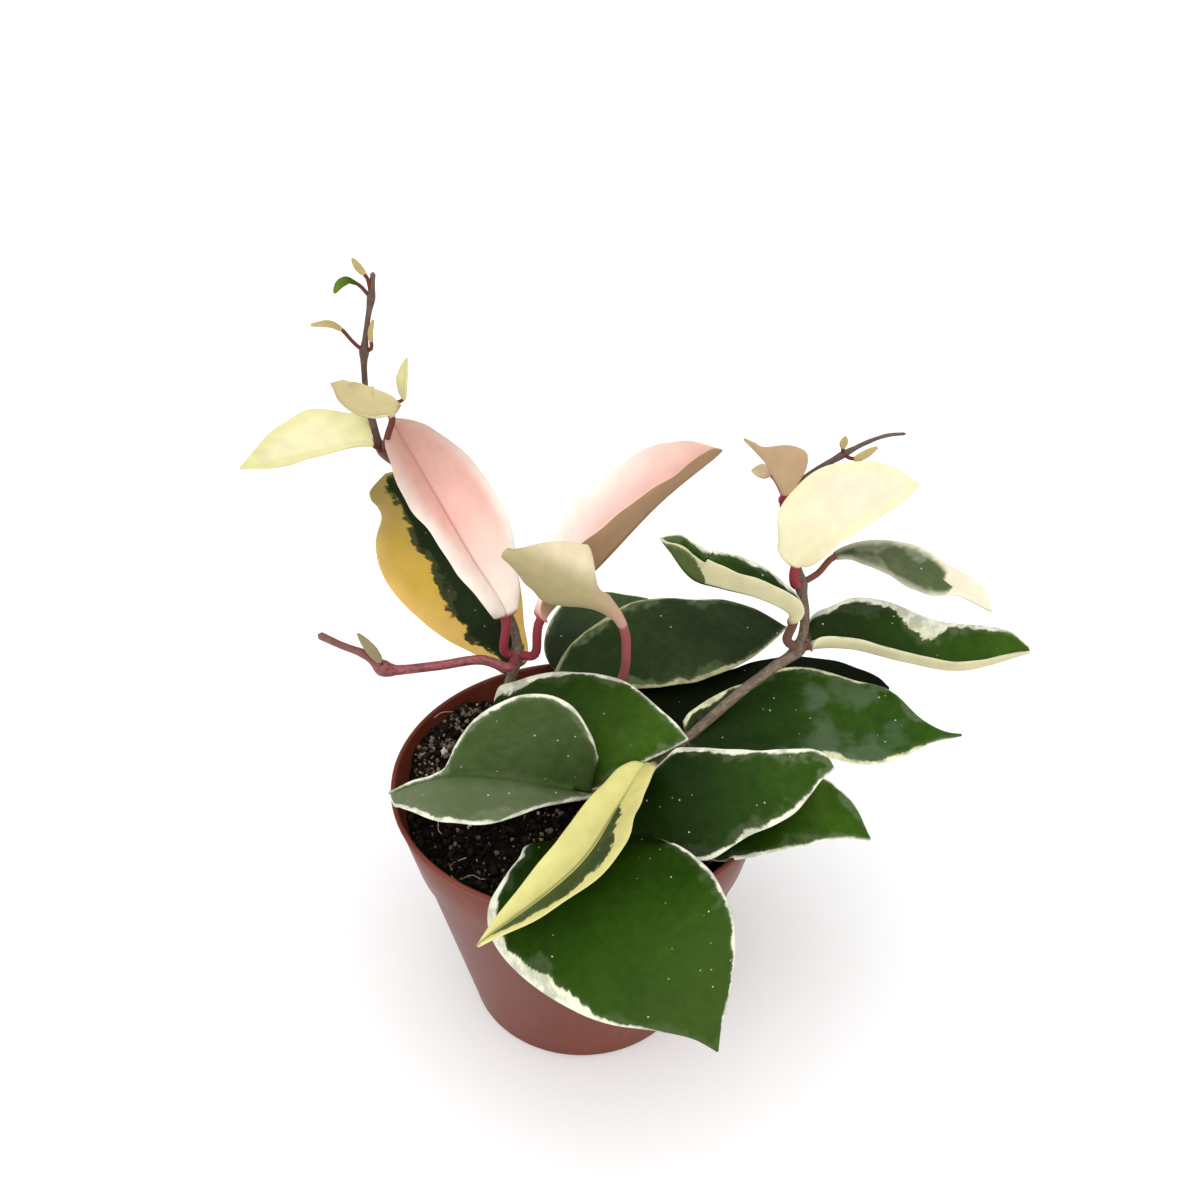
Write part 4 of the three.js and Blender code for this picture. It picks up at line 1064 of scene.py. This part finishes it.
    waves = g.bump(g.noise(place, SKIN_WAVES), 0.0009, 0.3)
    pores = g.bump(g.noise(place, SKIN_PORES), 0.00003, 0.3, waves)
    wax = g.ramp(g.noise(place, GLOSS_PATCHES, 3), 0.3, 0.7, roughness - 0.04, roughness + 0.08)
    return g.finish(skin, wax, pores, Specular_IOR_Level=gloss)


def scaled(color, factor):
    return tuple(factor * part for part in color)


def bark_material(name, bark, young, roughness):
    """Stem skin, from woody at the foot to smooth at the tip."""
    g = material_graph(name)
    place = g.attribute("place", vector=True)
    fibres = g.noise(g.stretched(place, (0.45, 1.0, 1.0)), BARK_FIBRES, 4, 0.65)
    patches = g.noise(place, BARK_PATCHES, 3)
    wood = g.mix(g.ramp(fibres, 0.35, 0.68), scaled(bark, 0.55), scaled(bark, 1.35))
    wood = g.mix(g.ramp(patches, 0.52, 0.66, 0.0, 0.55), wood, scaled(bark, 0.35))
    smooth = g.mix(g.ramp(patches, 0.3, 0.7), scaled(young, 0.7), scaled(young, 1.25))
    skin = g.mix(g.attribute("young"), wood, smooth)
    bumps = g.bump(fibres, 0.0003, 0.7, g.bump(patches, 0.0004, 0.3))
    return g.finish(skin, g.ramp(fibres, 0.3, 0.7, roughness - 0.1, roughness + 0.1), bumps)


def pot_material():
    """Thin moulded terracotta-brown plastic with a faint grain and a little dust."""
    g = material_graph("pot_plastic")
    cloud = g.noise(g.place(), POT_CLOUDS, 3)
    grain = g.noise(g.place(), POT_GRAIN, 3)
    dust = g.noise(g.stretched(g.place(), (1.0, 1.0, 0.35)), POT_DUST, 4, 0.65)
    color = g.mix(g.ramp(cloud, 0.3, 0.7), (0.138, 0.027, 0.014), (0.180, 0.039, 0.021))
    color = g.mix(g.ramp(dust, 0.55, 0.8, 0.0, 0.12), color, (0.30, 0.15, 0.10))
    gloss = g.ramp(cloud, 0.3, 0.7, 0.36, 0.46)
    bumps = g.bump(grain, 0.00005, 0.35, g.bump(cloud, 0.0012, 0.12))
    return g.finish(color, gloss, bumps, Specular_IOR_Level=0.25)


def soil_material():
    """Damp dark peat, with a few pale flecks."""
    g = material_graph("soil_peat")
    place = g.place()
    crumbs = g.noise(place, PEAT_CRUMBS, 5, 0.7)
    lumps = g.noise(place, PEAT_LUMPS, 3)
    color = g.mix(g.ramp(crumbs, 0.38, 0.7), (0.0015, 0.0010, 0.0008), (0.013, 0.0085, 0.006))
    color = g.mix(g.ramp(lumps, 0.55, 0.72, 0.0, 0.5), color, (0.03, 0.019, 0.013))
    fleck = g.math("LESS_THAN", g.cells(place, PEAT_FLECKS), 0.16)
    pick = g.math("GREATER_THAN", g.parts(g.cells(place, PEAT_FLECKS, "Color"))[1], 0.8)
    color = g.mix(g.times(fleck, pick), color, (0.3, 0.24, 0.17))
    bumps = g.bump(crumbs, 0.0008, 0.9, g.bump(lumps, 0.002, 0.5))
    return g.finish(color, 0.85, bumps, Specular_IOR_Level=0.1)


def grain_material(name, dark, light, scale, roughness):
    """Crumbs, grit or perlite, each grain with its own tone."""
    g = material_graph(name)
    speckle = g.noise(g.place(), scale, 4, 0.6)
    color = g.mix(g.times(g.attribute("tone"), g.ramp(speckle, 0.3, 0.7, 0.5, 1.0)), dark, light)
    return g.finish(color, roughness, g.bump(speckle, 0.0003, 0.6), Specular_IOR_Level=0.15)


def plain_width(width, foot, u):
    """Half width of a simple blade at u, from 0 at its foot to 1 at its tip"""
    before_widest = u < PLAIN_WIDEST_PLACE
    climb = np.where(before_widest, u / PLAIN_WIDEST_PLACE, (1 - u) / (1 - PLAIN_WIDEST_PLACE))
    power = np.where(before_widest, foot, PLAIN_TIP_POWER)
    return width * np.sin(np.clip(climb, 0, 1) * math.pi / 2) ** power


def drawn_width(points, u):
    """Half width of a blade at u from its (u, width) points. They are joined over the square root of
    u, which rounds the foot and leaves the tip as pointed as they draw it."""
    places, widths = np.array(points, float).T
    places, wanted = np.sqrt(places), np.sqrt(u)
    slopes = np.gradient(widths, places)
    before = np.clip(np.searchsorted(places, wanted, side="right") - 1, 0, len(places) - 2)
    gap = places[before + 1] - places[before]
    share = (wanted - places[before]) / gap
    low, high = widths[before], widths[before + 1]
    width = (
        low * (1 + 2 * share) * (1 - share) ** 2 + high * (3 - 2 * share) * share ** 2
        + gap * share * (1 - share) * (slopes[before] * (1 - share) - slopes[before + 1] * share)
    )
    return np.maximum(width, 0)


def along_blade(rows, u):
    """The columns of rows, whose first is a place along the blade, interpolated at u"""
    columns = np.array(rows, float).T
    return [np.interp(u, columns[0], column) for column in columns[1:]]


def leaf_line(leaf):
    """The line through a leaf's stalk and blade. At each station: the place u along the blade, the
    point, the directions to the leaf's right and out of its face, how much of it is still stalk, and
    how much of its folds it has taken."""
    stalk = leaf.get("stalk", ())
    points = np.array([leaf["joint"], *stalk, *leaf["blade"]], float)
    last = len(points) - 1
    blade_start = len(stalk) + 1
    stalk_steps = max(3, round(lengths(points[: blade_start + 1])[-1] / STALK_STEP))
    large = lengths(points[blade_start:])[-1] > SMALL_LEAF_LENGTH
    even = np.linspace(0, 1, (BLADE_STATIONS if large else SMALL_BLADE_STATIONS) + 1)
    eased = blend((1 - np.cos(even * math.pi)) / 2, even, 0.5)
    places = np.concatenate([
        np.linspace(0, blade_start, stalk_steps + 1)[:-1],
        blade_start + eased * (last - blade_start),
    ])
    point = through(points, places)
    along = directions(point)
    face = np.array(leaf["face"], float)
    tip_face = np.array(leaf.get("tip_face", leaf["face"]), float)
    facing = blend(face, tip_face, (places / last)[:, None])
    side = unit(smoothed(unit(np.cross(along, facing)), SIDE_SMOOTHING))
    u = np.clip((places - blade_start) / (last - blade_start), 0, 1)
    folded = 1 - (1 - u) ** FOLD_FADE_POWER
    return u, point, side, unit(np.cross(side, along)), (1 - u) ** STALK_FADE_POWER, folded


def cross_section(part, away, u, width, folded):
    """How far out and up one point across a half blade lies at each station, and the fold there.
    Past the place where the margin starts to roll, the blade bends on by the roll's degrees."""
    roll_start, roll = part["roll"]
    flat = min(away, roll_start)
    rib_fold, margin_fold = along_blade(part["folds"], u)
    fold = np.radians(blend(rib_fold, margin_fold, flat) * folded)
    out, height = flat * width * np.cos(fold), flat * width * np.sin(fold)
    if away > roll_start:
        steps = np.linspace(roll_start, away, ROLL_STEPS + 1)
        for before, after in zip(steps, steps[1:]):
            turned = ((before + after) / 2 - roll_start) / (1 - roll_start)
            bent = fold + math.radians(roll) * turned * folded
            out = out + (after - before) * width * np.cos(bent)
            height = height + (after - before) * width * np.sin(bent)
        fold = bent
    return out, height, fold


def per_vertex(columns):
    """Values at each station, a column for each point of the ring, as one value for each vertex"""
    values = np.stack(columns, 1)
    flat = values.reshape(-1, *values.shape[2:])
    return np.concatenate([flat, values[0].mean(0)[None], values[-1].mean(0)[None]])


def leaf_shape(leaf, seed):
    """Rings of points round a leaf's stalk and blade, and what each point knows for its material."""
    u, rib, side, up, stalk_share, folded = leaf_line(leaf)
    stalk_radius = leaf.get("stalk_radius", STALK_RADIUS)
    thickness = leaf.get("thickness", BLADE_THICKNESS) * blend(1, TIP_THICKNESS_SHARE, u)
    thickness = blend(thickness, 2 * stalk_radius, stalk_share)
    halves = {-1: leaf["left"], 1: leaf["right"]}
    widths = {}
    for sign, part in halves.items():
        if part["outline"]:
            width = drawn_width(part["outline"], u)
        else:
            width = plain_width(part["width"], part["foot"], u)
        width = width * (1 + OUTLINE_WAVE * np.sin(u * 17 + seed * 5 + sign))
        widths[sign] = width + stalk_radius * stalk_share + TIP_HALF_WIDTH * u
    shares = np.sin(np.linspace(-math.pi / 2, math.pi / 2, 2 * ACROSS_STEPS + 1))
    ring = [(share, 1) for share in shares] + [(share, -1) for share in shares[-2:0:-1]]
    columns, place, inside, jag, edge = [], [], [], [], []
    for share, lift in ring:
        sign = -1 if share < 0 else 1
        part, width, away = halves[sign], widths[sign], abs(share)
        out, height, fold = cross_section(part, away, u, width, folded)
        power = blend(BLADE_SECTION_POWER, STALK_SECTION_POWER, stalk_share)
        rise = lift * thickness / 2 * (1 - away ** power) ** 0.5
        groove = RIB_GROOVE * np.exp(-((away * width / RIB_GROOVE_WIDTH) ** 2)) * (1 - stalk_share)
        rise = rise - groove * np.minimum(1, width / GROOVED_HALF_WIDTH)
        ripple = np.sin(u * 19 + seed * 3 + sign * 1.3) + 0.6 * np.sin(u * 37 + seed * 7 - sign)
        waved = np.minimum(1, width / WAVED_HALF_WIDTH) * (1 - stalk_share)
        rise = rise + BLADE_WAVE * ripple * away ** 3 * waved
        columns.append(
            rib
            + side * (sign * (out - rise * np.sin(fold)))[:, None]
            + up * (height + rise * np.cos(fold))[:, None]
        )
        margin_distance = (1 - away) * width
        pale = along_blade(part["pale"], u)[0]
        place.append(np.stack([lengths(rib), sign * away * width, np.full(len(u), seed)], 1))
        inside.append(np.clip(margin_distance - pale, -0.1, 0.1))
        jag.append(LEAST_JAG + JAG_SHARE * np.minimum(pale, JAG_LIMIT))
        edge.append(margin_distance)
    return np.stack(columns, 1), {
        "place": per_vertex(place),
        "inside": per_vertex(inside),
        "jag": per_vertex(jag),
        "edge": per_vertex(edge),
        "underside": per_vertex([np.full(len(u), float(lift < 0)) for _, lift in ring]),
        "stalk": per_vertex([stalk_share] * len(ring)),
        "to_tip": per_vertex([u] * len(ring)),
    }


def tube_shape(points, sides, step, ridge=0.0, seed=0):
    """Rings round a stem through (x, y, z, radius) points, swollen at its joints, with a rounded tip,
    each vertex's place on its skin, and how far along the stem it lies, from 0 to 1."""
    points = np.array(points, float)
    centres, radii = points[:, :3], points[:, 3]
    places = [0.0]
    for joint in range(len(points) - 1):
        steps = max(2, round(np.linalg.norm(centres[joint + 1] - centres[joint]) / step))
        places.extend(joint + np.linspace(0, 1, steps + 1)[1:])
    places = np.array(places)
    centre = through(centres, places)
    along = directions(centre)
    before = np.minimum(places.astype(int), len(points) - 2)
    thin = np.minimum(radii[before], radii[before + 1])
    radius = thin.copy()
    for end in (before, before + 1):
        distance = np.linalg.norm(centre - centres[end], axis=1)
        radius += (radii[end] - thin) * np.exp(-((distance / NODE_SPREAD) ** 2))
    length = lengths(centre)
    close = np.clip((length[-1] - length) / radius[-1], 0, 1)
    radius = radius * np.sqrt(np.maximum(1 - (1 - close) ** 2, 0.02))
    angles = np.linspace(0, 2 * math.pi, sides, endpoint=False)
    normal = np.array([1.0, 0, 0])
    rings, place = [], []
    for index in range(len(places)):
        normal = unit(normal - along[index] * normal.dot(along[index]))
        other = np.cross(along[index], normal)
        outward = np.cos(angles)[:, None] * normal + np.sin(angles)[:, None] * other
        rough = np.array([
            noise.noise(Vector((
                length[index] * RIDGES_PER_METRE,
                RIDGES_AROUND * math.cos(a) + seed,
                RIDGES_AROUND * math.sin(a),
            )))
            for a in angles
        ])
        rings.append(centre[index] + outward * (radius[index] + ridge * rough)[:, None])
        round_it = (outward @ np.stack([normal, other], 1) * radius[index]).T
        place.append(np.stack([np.full(sides, length[index]), *round_it], 1))
    ends = np.array([[0, 0, 0], [length[-1], 0, 0]])
    share = np.repeat(length / length[-1], sides)
    return np.array(rings), np.concatenate([*place, ends]), np.concatenate([share, [0, 1]])


def add_stem(name, replaced, points, material, slot, young, ridge=BARK_RIDGE):
    """A stem that turns from bark to young skin between the two shares of its length in young."""
    rings, place, share = tube_shape(points, STEM_SIDES, STEM_STEP, ridge, len(name))
    attributes = {"place": place, "young": np.clip((share - young[0]) / (young[1] - young[0]), 0, 1)}
    mesh_piece(name, *loft(rings), material, slot, (replaced,), attributes)


def pot_radius(height):
    """Radius of the pot's outside at a height, without the collar's step"""
    return blend(POT_BASE_RADIUS, POT_RIM_RADIUS, height / POT_HEIGHT)


def on_circle(centre, radius, angle):
    """The point of a circle at an angle in radians"""
    return centre[0] + radius * math.cos(angle), centre[1] + radius * math.sin(angle)


def arc(centre, radius, start, end, steps):
    """(radius, height) points on an arc, between two angles in degrees"""
    return [on_circle(centre, radius, math.radians(a)) for a in np.linspace(start, end, steps + 1)]


def pot_profile():
    """(radius, height) points round the pot's wall, from the middle of its underside and back"""
    collar_radius = pot_radius(POT_COLLAR_FOOT)
    stepped_radius = collar_radius - POT_COLLAR_STEP
    lip_middle = (POT_RIM_RADIUS - POT_LIP_RADIUS, POT_HEIGHT - POT_LIP_RADIUS)
    foot_middle = (POT_BASE_RADIUS - POT_EDGE_ROUNDING, POT_EDGE_ROUNDING)
    inner_height = POT_WALL + POT_EDGE_ROUNDING
    below_step = POT_COLLAR_FOOT - POT_COLLAR_STEP
    # A shallow groove round the collar under the lip: how far below the lip, and how deep
    groove = [
        (pot_radius(POT_HEIGHT - down) - deep, POT_HEIGHT - down)
        for down, deep in ((0.0032, 0.0001), (0.0026, 0.0004), (0.0020, 0.0003))
    ]
    return [
        (0, POT_RECESS_HEIGHT), (POT_RECESS_RADIUS, POT_RECESS_HEIGHT), (POT_STAND_RADIUS, 0),
        *arc(foot_middle, POT_EDGE_ROUNDING, -90, 8, 6),
        (blend(POT_BASE_RADIUS, collar_radius, 0.5) - POT_COLLAR_STEP * 0.5, POT_COLLAR_FOOT * 0.5),
        (stepped_radius - POT_FLARE, below_step - POT_FLARE_HEIGHT),
        (stepped_radius + POT_FLARE, below_step),
        (collar_radius - POT_COLLAR_CHAMFER, POT_COLLAR_FOOT - POT_COLLAR_CHAMFER_HEIGHT),
        (collar_radius, POT_COLLAR_FOOT),
        *groove,
        *arc(lip_middle, POT_LIP_RADIUS, 0, 180, 8),
        (POT_RIM_RADIUS - 2 * POT_LIP_RADIUS - POT_LIP_BEAD, POT_HEIGHT - POT_LIP_DEPTH),
        (collar_radius - POT_WALL, POT_COLLAR_FOOT),
        (stepped_radius - POT_WALL, below_step),
        (POT_BASE_RADIUS - POT_WALL, inner_height + 0.001),
        *arc((foot_middle[0] - POT_WALL, inner_height), POT_EDGE_ROUNDING, 0, -90, 4),
        (0, POT_WALL),
    ]


def turned(profile, sides):
    """Vertices and faces of a turned shape whose profile starts and ends on the axis"""
    vertices = [(0, 0, profile[0][1])]
    angles = [2 * math.pi * side / sides for side in range(sides)]
    for radius, height in profile[1:-1]:
        vertices.extend((radius * math.cos(a), radius * math.sin(a), height) for a in angles)
    vertices.append((0, 0, profile[-1][1]))
    faces = []
    rows = len(profile) - 2
    for side in range(sides):
        following = (side + 1) % sides
        faces.append((0, 1 + following, 1 + side))
        for row in range(rows - 1):
            here, there = 1 + row * sides, 1 + (row + 1) * sides
            faces.append((here + side, here + following, there + following, there + side))
        final = 1 + (rows - 1) * sides
        faces.append((final + side, final + following, len(vertices) - 1))
    return vertices, faces


def make_pot():
    pot = mesh_piece("pot_shell", *turned(pot_profile(), POT_SIDES), pot_material(), "pot_plastic", ("pot",))
    drills = bmesh.new()
    for hole in range(DRAIN_HOLES):
        made = bmesh.ops.create_cone(
            drills, cap_ends=True, segments=32, radius1=DRAIN_HOLE_RADIUS, radius2=DRAIN_HOLE_RADIUS,
            depth=8 * POT_WALL,
        )
        shift = (*on_circle((0, 0), DRAIN_CIRCLE_RADIUS, 2 * math.pi * hole / DRAIN_HOLES), 0)
        bmesh.ops.translate(drills, verts=made["verts"], vec=shift)
    drill_mesh = bpy.data.meshes.new("drills")
    drills.to_mesh(drill_mesh)
    drills.free()
    drill = linked_object("drills", drill_mesh)
    cut = pot.modifiers.new("drain", "BOOLEAN")
    cut.operation = "DIFFERENCE"
    cut.object = drill
    shown = pot.evaluated_get(bpy.context.evaluated_depsgraph_get())
    bored = bpy.data.meshes.new_from_object(shown)
    pot.modifiers.clear()
    pot.data = bored
    bpy.data.objects.remove(drill)
    pot.data.set_sharp_from_angle(angle=math.radians(DRAIN_EDGE_ANGLE))


def soil_height(x, y):
    """Height of the soil's lumpy surface"""
    mound = SOIL_MOUND * math.exp(-((math.hypot(x, y) / SOIL_MOUND_SPREAD) ** 4))
    heap = SOIL_HEAP * math.exp(-((math.dist((x, y), SOIL_HEAP_PLACE) / SOIL_HEAP_SPREAD) ** 2))
    lumps = noise.noise(Vector((x * SOIL_LUMPS_PER_METRE, y * SOIL_LUMPS_PER_METRE, 3.1)))
    crumbs = noise.noise(Vector((x * SOIL_CRUMBS_PER_METRE, y * SOIL_CRUMBS_PER_METRE, 7.7)))
    return SOIL_TOP + mound + heap + SOIL_LUMP * (lumps + SOIL_CRUMB_SHARE * crumbs)


def soil_point(x, y):
    """The point of the soil's surface for a place (x, y) at its lowest level: the pot widens upwards,
    and the soil with it"""
    height = soil_height(x, y)
    spread = pot_radius(height) / pot_radius(SOIL_TOP)
    return x * spread, y * spread, height


def make_soil():
    inside = POT_WALL + SOIL_GAP
    top_radius = pot_radius(SOIL_TOP) - inside
    collar_radius = pot_radius(POT_COLLAR_FOOT) - inside
    floor_radius = POT_BASE_RADIUS - inside - POT_EDGE_ROUNDING
    profile = [
        (0, inside), (floor_radius, inside),
        (floor_radius + POT_EDGE_ROUNDING, inside + POT_EDGE_ROUNDING),
        (collar_radius - POT_COLLAR_STEP, POT_COLLAR_FOOT - POT_COLLAR_STEP),
        (collar_radius, POT_COLLAR_FOOT),
        *((top_radius * (1 - ring / SOIL_RINGS), SOIL_TOP) for ring in range(SOIL_RINGS)),
        (0, SOIL_TOP),
    ]
    vertices, faces = turned(profile, SOIL_SIDES)
    vertices = [soil_point(x, y) if z >= SOIL_TOP - 1e-6 else (x, y, z) for x, y, z in vertices]
    mesh_piece("soil_body", vertices, faces, soil_material(), "soil", ("soil",))


def grains(name, count, sizes, flatness, detail, seed, chance, material):
    """Many small irregular grains lying on the soil, in one piece. The chance that a grain may lie at
    a place (x, y) is what chance gives for it."""
    rng = np.random.default_rng(seed)
    ball = bmesh.new()
    bmesh.ops.create_icosphere(ball, subdivisions=detail, radius=1)
    base = np.array([v.co[:] for v in ball.verts])
    base_faces = np.array([[v.index for v in f.verts] for f in ball.faces])
    ball.free()
    vertices, faces, tones = [], [], []
    while len(tones) < count:
        radius = (pot_radius(SOIL_TOP) - POT_WALL - 0.001) * math.sqrt(rng.random())
        x, y = on_circle((0, 0), radius, rng.random() * 2 * math.pi)
        if rng.random() > chance(x, y):
            continue
        size = sizes[0] * (sizes[1] / sizes[0]) ** (rng.random() ** 1.8)
        turn = np.linalg.qr(rng.normal(size=(3, 3)))[0]
        lumpy = base * (1 + GRAIN_ROUGHNESS * rng.normal(size=(len(base), 1)).clip(-1.6, 1.6))
        grain = (lumpy * size * np.array([1, rng.uniform(0.6, 1), flatness])) @ turn.T
        vertices.append(grain + np.array(soil_point(x, y)) + (0, 0, size * (1 - GRAIN_SINK) * flatness))
        faces.append(base_faces + len(tones) * len(base))
        tones.append(rng.random())
    attributes = {"tone": np.repeat(tones, len(base))}
    vertices, faces = np.concatenate(vertices), np.concatenate(faces).tolist()
    mesh_piece(name, vertices, faces, material, "soil", attributes=attributes)


def anywhere(x, y):
    return 1.0


def back_left(x, y):
    """Most pale grains lie at the back left, and few elsewhere"""
    return 0.95 if x < -0.005 and y > -0.008 else 0.14


def surface_root(rng, x, y):
    """Points of a root that wanders over the soil from a place"""
    heading = rng.uniform(0, 2 * math.pi)
    route = []
    for _ in range(rng.randint(*ROOT_STEPS)):
        lift = ROOT_LIFT + ROOT_LIFT_SPREAD * rng.random()
        route.append(tuple(np.array(soil_point(x, y)) + (0, 0, lift)))
        heading += rng.uniform(-ROOT_TURN, ROOT_TURN)
        x, y = on_circle((x, y), ROOT_STEP, heading)
        if math.hypot(x, y) > ROOT_REACH:
            break
    return route


def wall_root():
    """Points of a root that clings to the inside of the pot's wall above the soil"""
    route = []
    for step in range(WALL_ROOT_STEPS):
        height = WALL_ROOT_TOP - WALL_ROOT_DROP * step + WALL_ROOT_WAVE * math.sin(step)
        radius = pot_radius(height) - POT_WALL - WALL_ROOT_RADIUS
        angle = math.radians(WALL_ROOT_START - WALL_ROOT_TURN * step)
        route.append((*on_circle((0, 0), radius, angle), height))
    return route


def make_roots():
    """Fine pale roots on the soil, in one piece."""
    rng = random.Random(11)
    threads = []
    for start in ROOT_STARTS:
        route = surface_root(rng, *start)
        if len(route) >= ROOT_LEAST_STEPS:
            threads.append((route, rng.uniform(*ROOT_RADII)))
    threads.append((wall_root(), WALL_ROOT_RADIUS))
    vertices, faces = [], []
    for route, radius in threads:
        rings, _, _ = tube_shape([(*point, radius) for point in route], ROOT_SIDES, ROOT_RING_STEP)
        more, more_faces = loft(rings)
        faces.extend(tuple(i + len(vertices) for i in face) for face in more_faces)
        vertices.extend(more)
    material = grain_material("root_skin", (0.2, 0.13, 0.09), (0.6, 0.48, 0.38), 900, 0.6)
    attributes = {"tone": np.full(len(vertices), 0.8)}
    mesh_piece("soil_roots", vertices, faces, material, "soil", attributes=attributes)


def make_leaves():
    paints = {look: dict(paint) for look, paint in LOOKS.items()}
    slots = {look: paint.pop("slot") for look, paint in paints.items()}
    materials = {look: leaf_material("skin_" + look, **paint) for look, paint in paints.items()}
    for number, leaf in enumerate(LEAVES):
        rings, attributes = leaf_shape(leaf, seed=number * 0.37)
        name, look = leaf["name"], leaf["look"]
        mesh_piece(name + "_skin", *loft(rings), materials[look], slots[look], (name,), attributes)


def make_stage():
    floor_mesh = bpy.data.meshes.new("floor")
    corners = [(-1, -1), (1, -1), (1, 1), (-1, 1)]
    floor_mesh.from_pydata([(x * FLOOR_REACH, y * FLOOR_REACH, 0) for x, y in corners], [], [(0, 1, 2, 3)])
    floor = linked_object("floor", floor_mesh)
    g = material_graph("floor_paper")
    color = g.mix(g.noise(g.place(), 6), (0.93, 0.93, 0.93), (0.95, 0.95, 0.95))
    glow = {"Emission_Color": (*WHITE, 1), "Emission_Strength": FLOOR_GLOW}
    floor_mesh.materials.append(g.finish(color, 0.6, Specular_IOR_Level=0.0, **glow))


def make_lights():
    """A bright sky over the front and a dim one behind, and three broad and far lamps, which light the
    floor evenly."""
    g = Graph(bpy.data.worlds.new("studio"))
    parts = g.parts(g.place("Generated"))
    leaning = g.math("SUBTRACT", parts["Z"], parts["Y"])
    background = g.tree.nodes["Background"]
    g.put(background.inputs["Strength"], g.ramp(leaning, -0.6, 1.3, SKY_DIM, SKY_BRIGHT))
    g.put(background.inputs["Color"], WHITE)
    bpy.context.scene.world = g.owner
    for name, (direction, strength, spread) in LAMPS.items():
        light = bpy.data.lights.new(name, "SUN")
        light.energy = strength
        light.angle = math.radians(spread)
        lamp = linked_object(name, light)
        lamp.rotation_euler = Vector(direction).to_track_quat("-Z", "Y").to_euler()
    bpy.context.scene.view_settings.view_transform = "Standard"


def make_camera():
    camera = bpy.data.cameras.new("camera")
    camera.sensor_width = CAMERA_SENSOR
    camera.lens = CAMERA_LENS
    camera.clip_start = 0.01
    camera_object = linked_object("camera", camera)
    camera_object.location = CAMERA_PLACE
    camera_object.rotation_euler = (math.radians(CAMERA_TILT), 0, 0)
    bpy.context.scene.camera = camera_object


make_camera()
make_lights()
make_stage()
make_pot()
make_soil()
grains(
    "soil_crumbs", 3600, sizes=(0.0004, 0.0016), flatness=0.75, detail=1, seed=3, chance=anywhere,
    material=grain_material("crumb", (0.0020, 0.0013, 0.0009), (0.030, 0.018, 0.011), 1800, 0.85),
)
grains(
    "soil_grit", 1300, sizes=(0.0004, 0.0011), flatness=0.7, detail=2, seed=5, chance=back_left,
    material=grain_material("grit", (0.035, 0.024, 0.015), (0.38, 0.29, 0.20), 2200, 0.7),
)
grains(
    "soil_perlite", 90, sizes=(0.0004, 0.0013), flatness=0.9, detail=2, seed=8, chance=back_left,
    material=grain_material("perlite", (0.42, 0.39, 0.34), (0.85, 0.83, 0.78), 2600, 0.75),
)
make_roots()
wood = bark_material("bark", (0.190, 0.142, 0.092), (0.125, 0.075, 0.055), 0.7)
red_skin = bark_material("red_skin", (0.32, 0.075, 0.082), (0.22, 0.10, 0.075), 0.5)
add_stem("stem_left_bark", "stem_left", STEM_LEFT, wood, "stem_bark", young=(0.25, 0.6))
add_stem("stem_right_bark", "stem_right", STEM_RIGHT, wood, "stem_bark", young=(0.55, 0.85))
add_stem("stem_middle_bark", "stem_middle", STEM_MIDDLE, wood, "stem_bark", young=(0.6, 1.2))
add_stem(
    "red_shoot_skin", "red_shoot", RED_SHOOT, red_skin, "shoot_skin", young=(0.6, 1.0),
    ridge=RED_SKIN_RIDGE,
)
make_leaves()
